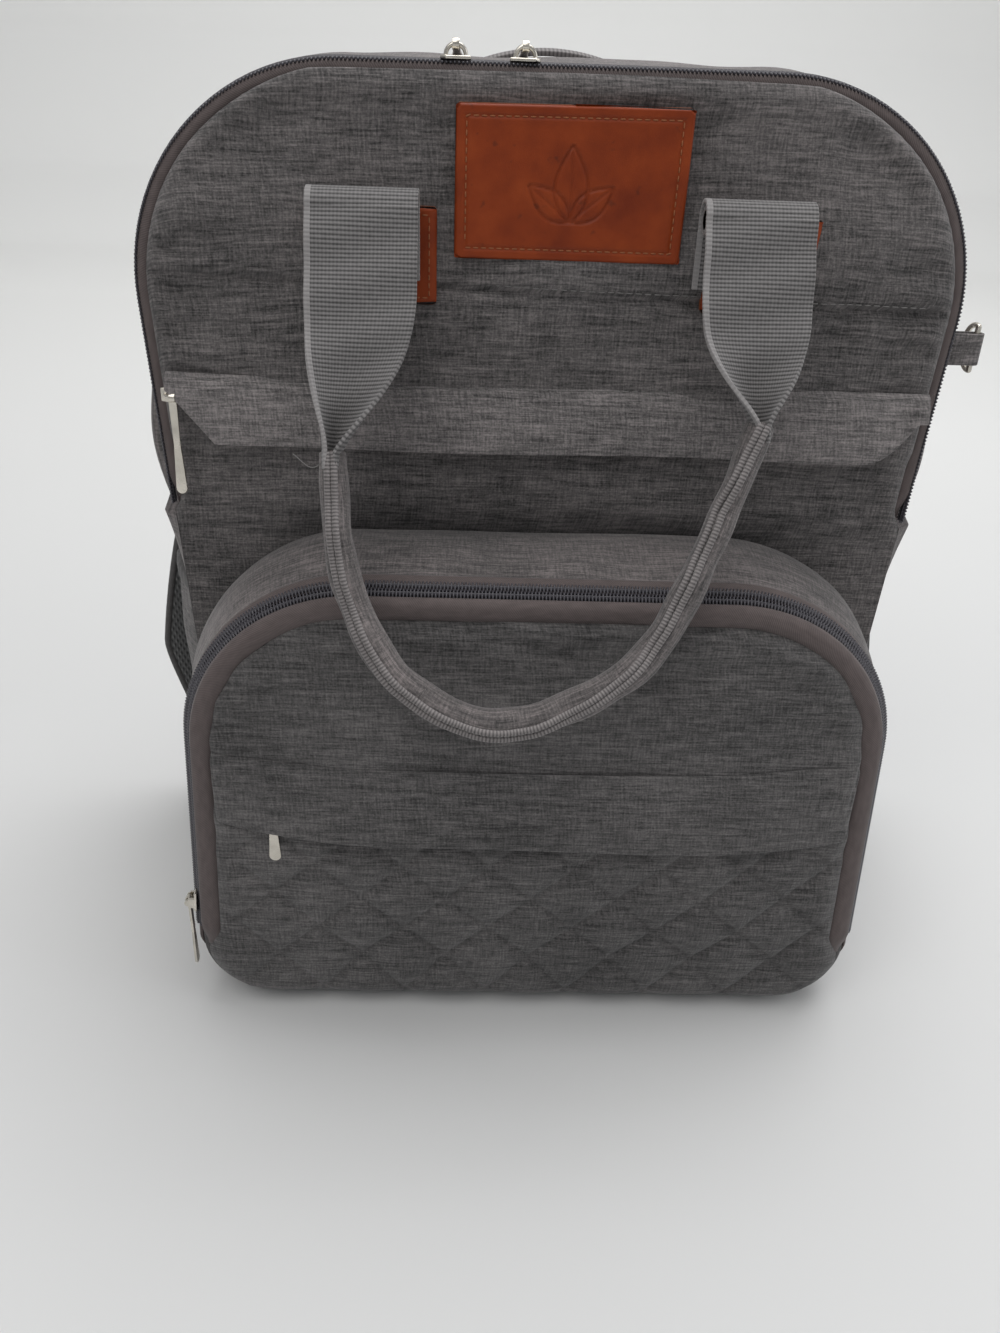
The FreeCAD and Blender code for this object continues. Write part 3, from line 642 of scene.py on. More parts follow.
def main_cloth():
    """The bag's front in one cloth, which folds where the panel opens, with its lining behind."""
    x, z = sheet_grid(BAG, PANEL_INSET, 0.0015, 0.0018)
    d = edge_distance(BAG, PANEL_INSET, x, z)
    upper = smooth(0.214, 0.236, z)
    # Below the fold the cloth widens to meet the gusset, since no zip parts them there.
    wide = half_width(BAG, 0.0004, z[:, :1]) / np.maximum(x[:, -1:], 0.12)
    x = x * (1 + (wide - 1) * smooth(0.235, 0.224, z))
    base = POCKET_BACK * (1 - upper) + FACE * upper
    crown = smooth(0.33, 0.393, z) * (1 - smooth(0.075, 0.13, np.abs(x)))
    rolled = 0.0042 * roll_off(d, 0.007) * upper * (1 - 0.6 * crown)
    bulge = 0.0045 * smooth(0.004, 0.07, d) * upper
    # The slanting seam pinches the cloth in, and the cloth above it steps out a little.
    over = z - (SEAM_Z - SEAM_SLOPE * x)
    seam = np.exp(-(over / 0.0016) ** 2) * 0.0020 * smooth(0, 0.004, d)
    seam = seam - 0.0008 * smooth(0.0, 0.0018, over) * smooth(0.02, 0.0, over) * smooth(0, 0.004, d)
    recess = 0.0022 * smooth(0.262, 0.254, z) * upper
    folds = ripple(x, z, 0.075, 4, 0.4) * 0.0019 + ripple(x, z, 0.028, 9, 0.2) * 0.0007
    at_sides = np.exp(-(d / 0.022) ** 2) * smooth(0.25, 0.31, z)
    side_folds = 0.0019 * np.sin(z * 260 + 3 * np.sin(z * 60)) * at_sides
    y = base + rolled - bulge + seam + recess + (folds + side_folds) * smooth(0, 0.012, d) * upper
    z = z + 0.0027 * crown
    cloth = sheet("front_cloth", x, y, z, CLOTH)
    keep = z[:, 0] > 0.225
    inner = sheet("front_panel_lining", x[keep], FRONT - 0.0037, z[keep], LINING, flip=True)
    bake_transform(cloth)
    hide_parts("upper_front_panel", "lower_front_wall")
    done(inner, "front_panel", "lining_fabric")
    sewn_z = SEAM_Z + 0.0023
    seam_x = np.linspace(-0.149, 0.149, 260)
    seam_x = seam_x[np.abs(seam_x) < 0.146]
    near = np.abs(z[:, 0] - 0.3235).argmin()
    row = np.stack([seam_x, np.interp(seam_x, x[near], y[near]) - 0.0001, sewn_z - SEAM_SLOPE * seam_x], 1)
    sewn = stitches("panel_seam_stitches", row, (0, -1, 0), radius=FINE_THREAD)
    done(sewn, "front_panel", "shell_fabric")


def gusset():
    """The sides, top and base, the lining inside, and the piping round the back edge."""
    q, n, along = from_base(BAG, 0.0026)
    # The sides stand out where the main zip ends, just above the fold.
    pull = 0.0105 * np.exp(-((q[:, 1] - 0.250) / 0.036) ** 2)
    rows = []
    for t in np.linspace(0, 1, 46):
        first = np.where(q[:, 1] > FOLD_Z, FRONT + 0.0085, POCKET_BACK + 0.0008)
        y = first + (BACK - 0.001 - first) * t
        lift = 0.0028 * np.sin(math.pi * t) ** 0.7
        lift = lift + ripple(along, y, 0.06, 21, 0.2) * 0.0009 * math.sin(math.pi * t)
        lift = lift + pull * (1 - t) * smooth(0, 0.06, t) * np.abs(n[:, 0])
        lift = lift * smooth(0.010, 0.05, q[:, 1])
        p = q + n * lift[:, None]
        rows.append(np.stack([p[:, 0], y, np.maximum(p[:, 1], 0.0002)], 1))
    outer = grid("gusset_cloth", rows, GUSSET_CLOTH, wrap=True)
    done(outer, "bag", "shell_fabric", "gusset_shell")
    q, _ = outline(BAG, LINING_INSET, 0.004)
    inside = [at_depth(q, y) for y in np.linspace(FRONT + 0.001, LINING_BACK, 12)]
    wall = grid("lining_wall", inside, LINING, wrap=True, flip=True)
    x, z = sheet_grid(BAG, LINING_INSET, 0.0043, 0.006)
    rear_y = LINING_BACK - 0.0002 + ripple(x, z, 0.07, 2) * 0.0006
    rear = sheet("lining_back", x, rear_y, z, LINING)
    done(join("main_lining", [wall, rear]), "bag", "lining_fabric", "lining")
    lip, _ = arch(BAG, 0.002, FOLD_Z + 0.003, 0.003)
    edge = tube("lining_edge", at_depth(lip, FRONT + 0.0012), oval(0.0022, 0.0012), EDGE_TAPE)
    done(edge, "bag", "lining_fabric")
    pipe, _ = outline(BAG, 0.0012, 0.003)
    pipe[:, 1] = np.maximum(pipe[:, 1], 0.0024)
    piping = tube("back_piping", at_depth(pipe, BACK - 0.0005), oval(0.0021, 0.0021), EDGE_TAPE, closed=True)
    done(piping, "bag", "shell_fabric")
    done(cad_copy("base_board", LINING, 0.0006), "bag", "board", "base_board")


def main_zip():
    """Two rows of teeth on their tapes: the rear pair on the bag, the front pair on the panel."""
    low, y = FOLD_Z + 0.002, FRONT
    teeth = ring_teeth("main_teeth_rear", BAG, y - 0.0016, low, 0.0, -0.0007, size=1.15)
    done(teeth, "bag", "zip_coil", "main_zip_coil_rear")
    teeth = ring_teeth("main_teeth_front", BAG, y - 0.0045, low, 0.5, -0.0004, size=1.15)
    done(teeth, "front_panel", "zip_coil", "main_zip_coil_front")
    rear = [(-0.0004, y + 0.0105), (-0.0017, y + 0.0088), (-0.0012, y + 0.006), (-0.0003, y + 0.003),
            (0.0002, y), (0.0012, y - 0.003)]
    tape = thicken(ring_strip("main_tape_rear", BAG, rear, low - 0.02, TAPE), TAPE_THICK)
    done(tape, "bag", "zip_tape", "main_zip_tape_rear")
    front = [(0.0012, y - 0.003), (0.0002, y - 0.0046), (0.0008, y - 0.0057), (0.0022, y - 0.0062),
             (0.0036, y - 0.0060), (0.0062, y - 0.0048)]
    tape = thicken(ring_strip("main_tape_front", BAG, front, low, TAPE), TAPE_THICK, 1.0)
    done(tape, "front_panel", "zip_tape", "main_zip_tape_front")


def back():
    """The padded back in mesh, with three channels, and the yoke and haul loop above."""
    def channels(x, z, d):
        ribs = np.abs(np.sin(x * math.pi / 0.098)) ** 0.5
        cross = np.abs(np.sin((z - 0.02) * math.pi / 0.118)) ** 0.35
        return 0.0042 * ribs * cross * smooth(0, 0.03, d) + ripple(x, z, 0.05, 31) * 0.0003
    shape = sheet_grid(BAG, 0.0025, 0.0026, 0.0028)
    pad = pillow("back_padding", BAG, BACK - 0.001, 0.0016, MESH, roll_in=0.006, back=True,
                 lift=channels, shape=shape)
    done(pad, "bag", "back_mesh", "back_panel", "back_foam")
    yoke = pillow("yoke_cloth", [(-0.092, 0.350, 0.006), (0.092, 0.350, 0.006), (0.080, 0.381, 0.006),
                  (-0.080, 0.381, 0.006)], BACK + 0.0005, 0.0048, CLOTH, roll_in=0.004, back=True)
    done(yoke, "bag", "back_mesh", "strap_yoke")
    low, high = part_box("haul_loop")
    a = np.linspace(-1, 1, 60)
    half, rise = high.x - 0.0005, 0.020
    radius = (half ** 2 + rise ** 2) / (2 * rise)
    x = a * half
    z = high.z - 0.0012 - radius + np.sqrt(radius ** 2 - x ** 2)
    y = np.linspace(low.y + 0.0008, high.y - 0.0004, 16)
    droop = 0.0012 * np.cos(np.linspace(-1, 1, 16) * math.pi / 2)
    points = np.stack([np.repeat(x[:, None], 16, 1), np.repeat(y[None], 60, 0), z[:, None] + droop[None]], 2)
    loop = grid("haul_webbing", points.transpose(1, 0, 2), WEBBING)
    swap_uv(loop)
    loop = thicken(loop, 0.0022, 0.0, 0.0005)
    done(loop, "haul_loop", "webbing", "haul_loop")


def swap_uv(obj):
    """Turns the UVs by a quarter, so that a webbing's ribs run across it."""
    layer = obj.data.uv_layers[0].data
    uv = np.empty(len(layer) * 2, np.float32)
    layer.foreach_get("uv", uv)
    layer.foreach_set("uv", uv.reshape(-1, 2)[:, ::-1].copy().ravel())
    return obj


def side_pockets():
    """A gathered cloth pocket on each side, with elastic round its mouth."""
    for side, name in ((1, "right"), (-1, "left")):
        low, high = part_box("side_pocket_" + name)
        s, t = np.meshgrid(np.linspace(0, 1, 56), np.linspace(0, 1, 64))
        z = low.z + 0.001 + (high.z + 0.002 - low.z) * t
        y = low.y - 0.001 + (high.y - low.y + 0.002) * s
        wall = 0.146 + 0.020 * z / BAG_H
        deep = 0.0175 * np.sin(math.pi * s) ** 0.75 * np.sqrt(1 - (1 - np.clip(t / 0.12, 0, 1)) ** 2)
        deep = deep * (1 - 0.18 * smooth(0.8, 1, t))
        gather = 0.0007 * np.sin(s * TAU * 13 + 2 * np.sin(s * 9)) * smooth(0.55, 1, t) * np.sin(math.pi * s)
        folds = ripple(s * 0.074, z, 0.04, 12) * 0.0007 * np.sin(math.pi * s)
        x = side * (wall + 0.0016 + deep + gather + folds)
        piece = "side_pocket_cloth_" + name
        cloth = thicken(grid(piece, np.stack([x, y, z], 2), CLOTH, flip=side < 0), 0.0018)
        edge = np.stack([x[-1] - side * 0.0006, y[-1], z[-1]], 1)
        band = tube("elastic", edge, oval(0.0018, 0.0042, 12, 3), EDGE_TAPE, up=(0, 0, 1))
        done(join(piece, [cloth, band]), "bag", "shell_fabric", "side_pocket_" + name)


def side_tab():
    """A tab folded round the ring's bar, in the right-hand seam."""
    low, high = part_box("side_ring_tab")
    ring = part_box("side_ring")
    bar_x, bar_y, bend = ring[0].x + 0.0012, low.y + 0.0028, 0.0024
    turn = np.linspace(math.pi / 2, -math.pi / 2, 14)
    loop = [(bar_x + bend * math.cos(t), bar_y + bend * math.sin(t)) for t in turn]
    loop = [(low.x - 0.002, bar_y + bend)] + loop + [(low.x - 0.002, bar_y - bend)]
    points = [[(x, y, z) for x, y in loop] for z in np.linspace(low.z, high.z, 8)]
    # The tab's cloth is the lighter cloth with painted light.
    done(thicken(grid("side_tab_cloth", points, PAINTED_LIGHT_CLOTH), 0.0011, 0, 0.0003), "bag", "shell_fabric",
         "side_ring_tab")
    done(cad_copy("side_ring", NICKEL, 0.0001), "side_ring", "nickel", "side_ring")


# ---- On the front panel --------------------------------------------------------------------------


FLAP_TOP, FLAP_LOW = 0.2872, 0.2600
LEATHER_STITCH = 0.0029
TAB_SIDES = (("left", -0.0945, -0.0455), ("right", 0.0562, 0.0985))
TAB_LOW, TAB_TOP = 0.3165, 0.3515
FLAP_THICK, HEM = 0.0014, 0.0004


def weather_flap():
    """The flap over the upper pocket's zip, cut off slantwise at its lower corners."""
    s, t = np.meshgrid(np.linspace(-1, 1, 240), np.linspace(0, 1, 26))
    half = half_width(BAG, 0.0105, 0.283)
    x = s * half + 0.0045 * smooth(0.11, 0.145, s * half) - 0.0030 * smooth(-0.11, -0.145, s * half)
    bottom = FLAP_LOW + 0.0005 * np.sin(x * 40)
    bottom = bottom + 0.0225 * np.clip((-x - 0.134) / 0.020, 0, 1)
    bottom = bottom + 0.016 * np.clip((x - 0.130) / 0.020, 0, 1) ** 2
    top = FLAP_TOP + 0.0006 * np.sin(x * 23)
    z = top + (bottom - top) * t
    stand = 0.0042 + 0.0062 * np.sin(t * math.pi / 2) ** 0.8
    stand = stand * (1 - 0.35 * smooth(0.125, 0.152, np.abs(x)))
    stand = stand + ripple(x, z, 0.06, 41, 0.5) * 0.0009 * t + np.exp(-(t / 0.08) ** 2) * -0.0012
    y = FACE - stand
    # The flap's cloth is a lighter copy of the main cloth: painted light on its upturned face.
    flap = thicken(sheet("weather_flap_cloth", x, y, z, PAINTED_LIGHT_CLOTH, flip=True), FLAP_THICK, -1, HEM)
    done(flap, "front_panel", "flap_fabric", "weather_flap")
    row = np.stack([x[2], y[2] - 0.0002, z[2]], 1)[4:-4]
    done(stitches("weather_flap_stitches", row, (0, -1, 0), radius=FINE_THREAD), "front_panel", "flap_fabric")


def flat_zip(name, node, slot_body, x0, x1, z, y, half, sink):
    """A straight zip along X: a tape with two rows of teeth. It sinks back towards the sides of its panel."""
    def deeper(x):
        return sink * (1 - smooth(0, 0.07, half - np.abs(x)))

    x = np.linspace(x0, x1, 90)
    path = np.stack([x, y - 0.0009 + deeper(x), np.full(90, z)], 1)
    rows = []
    for offset, phase in ((0.0012, 0.0), (-0.0012, 0.5)):
        at, _ = even(path, 0.0019, phase)
        at[:, 2] += offset
        up = np.broadcast_to((0.0, -1.0, 0.0), at.shape)
        rows.append(beads(name, at, np.broadcast_to((0, 0, 1.0), at.shape), up, 0.0017, 0.0005, COIL))
    tape = pillow(name + "_tape", rect(x0, x1, z - 0.009, z + 0.007, 0.001), y, 0.0005, TAPE, roll_in=0.001,
                  step=0.003, lift=lambda a, b, d: -deeper(a))
    done(join(name, rows + [tape]), slot_body, "zip_tape", node)


def leather():
    """The patch, with a plain embossed sprig, and the two tabs behind the webbing."""
    low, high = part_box("leather_patch")
    cx, cz = 0.0035, (low.z + high.z) / 2
    corners = [(cx - 0.0425, cz - 0.0260, 0.0015), (cx + 0.0423, cz - 0.0260, 0.0015),
               (cx + 0.0430, cz + 0.0270, 0.0015), (cx - 0.0425, cz + 0.0262, 0.0015)]

    def leaf(x, z, ox, oz, angle, length, wide):
        c, s = math.cos(angle), math.sin(angle)
        u, v = (x - ox) * c + (z - oz) * s, -(x - ox) * s + (z - oz) * c
        f = np.clip(u / length, 0, 1)
        rim = wide * np.sin(math.pi * f ** 0.85)
        line = np.exp(-((np.abs(v) - rim) / 0.0005) ** 2) + 0.6 * np.exp(-(v / 0.0004) ** 2)
        return line * ((u > 0) & (u < length))

    def curl(x, z):
        return 0.0012 * smooth(0.02, 0.05, x - cx + (z - cz) * 0.4) - 0.0006 * smooth(0, 0.02, z - cz)

    def pressed(x, z, d):
        mark = sum(leaf(x, z, cx + ox, cz + oz, a, n, w) for ox, oz, a, n, w in (
            (0, -0.013, math.pi / 2, 0.027, 0.0062), (0, -0.012, math.radians(38), 0.020, 0.0046),
            (0, -0.012, math.radians(142), 0.020, 0.0046)))
        groove = np.exp(-((d - 0.0040) / 0.0007) ** 2) * 0.00045
        return -np.clip(mark, 0, 1) * 0.00085 - groove + curl(x, z)

    patch = pillow("patch_leather", corners, FACE - 0.0050, 0.0019, LEATHER, roll_in=0.0011, step=0.00045,
                   lift=pressed)
    skirt = ring_wall("patch_edge", corners, FACE - 0.0015, FACE - 0.0053, LEATHER_EDGE)
    q, _ = outline(corners, 0.0040, 0.0005)
    q = np.concatenate([q, q[:1]])
    path = at_depth(q, FACE - 0.0066 - curl(q[:, 0], q[:, 1]))
    sewn = stitches("patch_stitches", path, (0, -1, 0), THREAD, LEATHER_STITCH, 0.0003)
    done(join("patch_leather", [patch, skirt, sewn]), "front_panel", "leather", "leather_patch")
    for name, x0, x1 in TAB_SIDES:
        tab = rect(x0, x1, TAB_LOW, TAB_TOP, 0.0012)
        face = pillow("tab_leather_" + name, tab, FACE - 0.0042, 0.0018, LEATHER, roll_in=0.001, step=0.0015)
        side = ring_wall("tab_edge", tab, FACE - 0.001, FACE - 0.0043, LEATHER_EDGE)
        q, _ = outline(tab, 0.0028, 0.0008)
        sewn = stitches("tab_stitches", at_depth(q, FACE - 0.0061), (0, -1, 0), THREAD, LEATHER_STITCH, 0.0003)
        done(join("tab_leather_" + name, [face, side, sewn]), "front_panel", "leather", "handle_tab_" + name)


def ring_wall(name, corners, y0, y1, material):
    """The edge of a flat piece, between two depths."""
    q, _ = outline(corners, 0.0, 0.0015)
    return grid(name, [at_depth(q, y) for y in (y0, y1)], material, wrap=True)


# ---- The hand loop -------------------------------------------------------------------------------

PIVOT = Vector((0, -0.044, 0.351))
TILT = math.radians(20.5)
OUT = Vector((0, -math.cos(TILT), math.sin(TILT)))
DOWN = Vector((0, -math.sin(TILT), -math.cos(TILT)))
PINCHES = {1: (0.0750, 0.0740), -1: (0.0818, 0.0875)}      # each side's X and distance down
DROP_X, DROP_HALF = 0.072, 0.0203
FOLD_RADIUS = 0.0067
GRIP_RADIUS = 0.0072


def hand(x, out, down):
    """A point of the hand loop, from X, its distance out from the pivot and its distance down the loop."""
    p = PIVOT + OUT * out + DOWN * down
    return (x, p.y, p.z)


def webbing_drop(side, name):
    """The flat webbing over its fold and down to the pinch, where its edges roll together."""
    s = np.linspace(-1, 1, 30)
    half, middle = DROP_HALF, side * DROP_X
    pinch_x, pinch = PINCHES[side]
    rows = []
    for z in np.linspace(0.3255, PIVOT.z, 10):
        rows.append([(middle + half * a, PIVOT.y + FOLD_RADIUS, z) for a in s])
    for angle in np.linspace(0, math.pi - TILT, 16)[1:]:
        y, z = PIVOT.y + FOLD_RADIUS * math.cos(angle), PIVOT.z + FOLD_RADIUS * math.sin(angle)
        rows.append([(middle + half * a, y, z) for a in s])
    back_rows = len(rows) - 8
    for down in np.linspace(0.001, pinch + 0.006, 48):
        f = float(np.clip((down - 0.028) / (pinch - 0.028), 0, 1)) ** 2.1
        phi = 0.02 + 2.6 * f
        arm = middle + (side * pinch_x - middle) * f
        rows.append([hand(arm + half / phi * math.sin(phi * a) * (1 - 0.64 * f),
                          FOLD_RADIUS + half / phi * (1 - math.cos(phi * a)) * 0.85 - 0.004 * f
                          + 0.0006 * math.sin(down * 300 + 2 * a) * (1 - f), down) for a in s])
    rows = np.array(rows)
    rear = grid("webbing_root_" + name, rows[:back_rows + 1], EDGED_WEBBING, flip=True)
    front = grid("webbing_drop_" + name, rows[back_rows:], EDGED_WEBBING, flip=True)
    for obj in (rear, front):
        thicken(obj, 0.0015, 0, 0.0003)
    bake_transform(rear)
    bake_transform(front)
    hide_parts("handle_root_" + name)
    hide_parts("handle_webbing_" + name)
    sewn = stitches("root_stitches_" + name, rows[4] + np.array([0, 0.0011, 0]), (0, 1, 0), radius=0.0003)
    done(sewn, "front_panel", "webbing")


def grip_path(n=170):
    """The grip's middle line as (x, distance down): a lopsided U from one pinch round to the other."""
    knots = np.array([(0.0770, 0.064), (0.0750, 0.0740), (0.0570, 0.123), (0.0330, 0.165), (-0.015, 0.1875),
                      (-0.054, 0.173), (-0.076, 0.1355), (-0.0818, 0.0875), (-0.0812, 0.077)])
    t = np.linspace(1, len(knots) - 2, n)
    i = np.minimum(t.astype(int), len(knots) - 3)
    f = (t - i)[:, None]
    a, b, c, d = (knots[i + k] for k in (-1, 0, 1, 2))
    run = b + 0.5 * f * (c - a + f * (2 * a - 5 * b + 4 * c - d + f * (3 * (b - c) + d - a)))
    s = distances(run)
    return sampled(run, s, np.linspace(0, s[-1], n))


def grip():
    """Webbing folded lengthwise, with its two ribbed edges stitched together at the front."""
    run = grip_path()
    n = len(run)
    t = np.linspace(0, 1, n)
    wobble = 0.0008 * np.sin(t * 37) + 0.0006 * np.sin(t * 91 + 1)
    path = np.array([hand(x, GRIP_RADIUS + w, d) for (x, d), w in zip(run, wobble)])
    wide = 0.0052 + 0.0010 * smooth(0.1, 0.3, t) * smooth(1.0, 0.75, t)
    profiles = np.stack([oval(w, GRIP_RADIUS, 18, 2.2) for w in wide + 0.0003 * np.sin(t * 61)])
    body = swap_uv(tube("grip_cloth", path, profiles, GUSSET_CLOTH, up=tuple(OUT)))
    _, side, _ = frames_along(path, tuple(OUT))
    inward = side if float(side[n // 2] @ np.array(DOWN)) < 0 else -side
    pieces = [body]
    seam = np.interp(t, (0, 0.12, 0.3, 0.5, 0.75, 1), (0.0, 0.0032, 0.0022, -0.0034, -0.0022, 0.0))
    for shift in (-0.00125, 0.00125):
        across = seam + shift
        rise = GRIP_RADIUS * np.sqrt(np.clip(1 - (across / (wide + 0.0006)) ** 2, 0.05, 1)) + 0.0002
        edge = path + np.array(OUT) * rise[:, None] + inward * across[:, None]
        pieces.append(tube("grip_edge", edge, oval(0.0013, 0.0014, 10, 2.4), CORD, up=tuple(OUT)))
    line = seam[:, None] * inward + np.array(OUT) * (GRIP_RADIUS + 0.0002)
    pieces.append(stitches("grip_stitches", path + line, tuple(OUT), pitch=0.003, radius=0.0002))
    base = np.array(hand(-0.084, 0.012, 0.090))
    wisp = [base - (0.011 * u, 0.002 * u, 0.003 * math.sin(u * 4)) for u in np.linspace(0, 1, 12)]
    pieces.append(tube("loose_thread", wisp, oval(0.00020, 0.00020, 5), GREY_THREAD))
    done(join("grip_cloth", pieces), "handle", "shell_fabric", "handle_grip")
    for node, body, radius in (("handle_fold_inner", "handle_fold", 0.0033),
                               ("handle_fold_outer", "handle_swing", 0.0052)):
        rolls = []
        for middle in (-DROP_X, DROP_X):
            rod = [(x, PIVOT.y, PIVOT.z) for x in np.linspace(middle - 0.0195, middle + 0.0195, 12)]
            rolls.append(tube(node + "_roll", rod, oval(radius, radius, 20), WEBBING, up=(0, 0, 1)))
        done(join(node + "_roll", rolls), body, "webbing", node)


# ---- The front pocket ----------------------------------------------------------------------------

WELT_LOW, WELT_HIGH = 0.1035, 0.141
QUILT_PITCH = 0.038


def pocket_body():
    """The pocket's gusset, fuller at the top, with its insulating lining."""
    q, n, along = from_base(POCKET, 0.0024)
    top = smooth(0.10, 0.20, q[:, 1])
    rows = []
    for t in np.linspace(0, 1, 34):
        y = np.full(len(q), POCKET_BACK - 0.0002 + (POCKET_ZIP + 0.0012 - POCKET_BACK) * t)
        lift = 0.0045 * math.sin(math.pi * t) ** 0.8 + 0.005 * top * (1 - t) * smooth(0, 0.12, t)
        lift = lift + ripple(along, y, 0.055, 51, 0.1) * 0.0013 * math.sin(math.pi * t)
        lift = lift * smooth(0.008, 0.05, q[:, 1]) - 0.002 * (t < 0.01)
        lift = lift + 0.0009 * math.exp(-((t - 0.93) / 0.03) ** 2)
        p = q + n * lift[:, None]
        rows.append(np.stack([p[:, 0], y, np.maximum(p[:, 1], 0.0012)], 1))
    cloth = grid("pocket_gusset_cloth", rows, GUSSET_CLOTH, wrap=True, flip=True)
    done(cloth, "bag", "shell_fabric", "pocket_gusset")
    q, _ = outline(POCKET, 0.0045, 0.004)
    inside = [at_depth(q, y) for y in np.linspace(POCKET_BACK - 0.0015, POCKET_ZIP - 0.002, 12)]
    wall = grid("pocket_wall", inside, SILVER, wrap=True)
    x, z = sheet_grid(POCKET, 0.0042, 0.0076, 0.005)
    rear = sheet("pocket_rear", x, POCKET_BACK - 0.0022 + ripple(x, z, 0.04, 3) * 0.0005, z, SILVER)
    done(join("pocket_insulation_lining", [wall, rear]), "bag", "insulation", "pocket_insulation")
    q, _ = outline(POCKET, 0.0024, 0.003)
    rim = tube("pocket_rim", at_depth(q, POCKET_ZIP - 0.0018), oval(0.0022, 0.0013), EDGE_TAPE, closed=True)
    done(rim, "bag", "shell_fabric")


def pocket_zip():
    """The bowed zip: it leans outwards, and its front tape is rolled over towards the pocket's front."""
    low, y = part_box("pocket_zip_coil_rear")[0].z, POCKET_ZIP
    lean = dict(tilt=math.radians(42), pitch=0.0014)
    teeth = ring_teeth("pocket_teeth_rear", POCKET, y - 0.0014, low, 0.0, -0.0019, **lean)
    done(teeth, "bag", "zip_coil", "pocket_zip_coil_rear")
    teeth = ring_teeth("pocket_teeth_front", POCKET, y - 0.0042, low + 0.001, 0.5, 0.0001, **lean)
    done(teeth, "pocket_door", "zip_coil", "pocket_zip_coil_front")
    rear = [(-0.0030, y + 0.0065), (-0.0034, y + 0.005), (-0.0027, y + 0.0034), (-0.0021, y + 0.0016),
            (-0.0022, y + 0.0001), (-0.0007, y - 0.0020)]
    done(thicken(ring_strip("pocket_tape_rear", POCKET, rear, 0.02, TAPE), TAPE_THICK), "bag", "zip_tape")
    front = [(0.0030, y - 0.0030), (0.0022, y - 0.0052), (0.0012, y - 0.0068), (0.0018, y - 0.0084),
             (0.0038, y - 0.0092), (0.0065, y - 0.0092), (0.0090, y - 0.0084), (0.0105, y - 0.0062)]
    tape = thicken(ring_strip("pocket_tape_front", POCKET, front, low - 0.008, TAPE), TAPE_THICK, 1.0)
    done(tape, "pocket_door", "zip_tape", "pocket_zip_tape_front")


def pocket_face():
    """The pocket's front in cloth: plain above, quilted in diamonds below the welt."""
    inset = 0.0085
    x, z = sheet_grid(POCKET, inset, 0.0045, 0.0016)
    d = edge_distance(POCKET, inset, x, z)
    foot = smooth(0.046, 0.030, z)
    rolled = 0.0058 * roll_off(d, 0.008) * (1 - foot) + 0.0125 * roll_off(d, 0.016) * foot
    a, b = ((x + lean * z * 1.05) / QUILT_PITCH for lean in (1, -1))
    near = np.minimum(np.abs(a - np.round(a)), np.abs(b - np.round(b))) * QUILT_PITCH * 0.69
    quilt = 0.0019 * (1 - np.exp(-(near / 0.0050) ** 1.2)) - 0.0010 * np.exp(-(near / 0.0012) ** 2)
    lower = smooth(WELT_LOW + 0.012, WELT_LOW - 0.004, z) * smooth(0, 0.008, d)
    folds = ripple(x, z, 0.06, 61, 0.45) * 0.0013 * smooth(0, 0.02, d)
    at_sides = np.exp(-(d / 0.022) ** 2) * smooth(0.08, 0.11, z)
    pucker = 0.0010 * np.sin(z * 320 + 2.5 * np.sin(x * 50 + 1)) * at_sides
    bulge = 0.0055 * smooth(0, 0.07, d)
    y = POCKET_FACE + rolled - bulge - quilt * lower - folds * (0.5 + 0.5 * (1 - lower)) + pucker
    spread = 0.0076 * foot * smooth(0.03, 0.0, d)
    ax, az = np.maximum(np.abs(x) - 0.120, 0), np.maximum(0.040 - z, 0)
    reach = np.hypot(ax, az) + 1e-6
    wide_x, low_z = x + np.sign(x) * spread * ax / reach, z - spread * az / reach
    # The pocket's face cloth carries painted shade: a darker copy of the main cloth.
    face = sheet("pocket_face_cloth", wide_x, y, np.maximum(low_z, 0.0016), SHADED_POCKET_CLOTH)
    low = smooth(0.056, 0.030, z)
    inner_x, inner_z = x * (1 - 0.07 * low), z + 0.007 * low * foot
    inner = sheet("pocket_door_lining", inner_x[::3, ::3], POCKET_FACE + 0.0056, inner_z[::3, ::3], SILVER,
                  flip=True)
    done(inner, "pocket_door", "insulation")
    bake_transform(face)
    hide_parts("pocket_front")
    return x, POCKET_FACE + rolled - bulge, z


def welt(x, y, z):
    """The fold of cloth over the small zip, sewn in above and at its ends. It follows the pocket's face."""
    s, t = np.meshgrid(np.linspace(-1, 1, 260), np.linspace(0, 1, 30))
    top = WELT_HIGH + 0.0035 * s ** 2
    low = WELT_LOW + 0.0015 + 0.0030 * np.abs(s) ** 3 - 0.0022 * s
    zz = top + (low - top) * t
    xx = s * half_width(POCKET, 0.0102, 0.122)
    rows = np.abs(z[:, 0][:, None] - zz.ravel()[None]).argmin(0).reshape(zz.shape)
    last = x.shape[1] - 1
    cols = np.clip(((xx / np.abs(x[rows, -1]) + 1) / 2 * last).round().astype(int), 0, last)
    stand = 0.0012 + 0.0052 * np.sin(t * math.pi / 2) ** 0.9 * (1 - np.abs(s) ** 8)
    stand = stand + ripple(xx, zz, 0.05, 71, 0.5) * 0.0008 * t
    # The welt's cloth is the darker cloth with painted shade.
    cloth = sheet("welt_cloth", xx, y[rows, cols] - stand, zz, SHADED_POCKET_CLOTH, flip=True)
    done(thicken(cloth, FLAP_THICK, -1, HEM), "pocket_door", "flap_fabric", "pocket_welt")


# ---- Sliders and pulls ---------------------------------------------------------------------------


def metalwork():
    """Each slider and pull, on the body of its own name."""
    for node in ("main_slider_left", "main_slider_right", "main_pull_left", "main_pull_right",
                 "upper_pocket_slider", "upper_pocket_pull", "pocket_slider", "pocket_pull",
                 "welt_slider", "welt_pull"):
        done(cad_copy(node, NICKEL), node, "nickel", node)


# ---- Shoulder straps -----------------------------------------------------------------------------


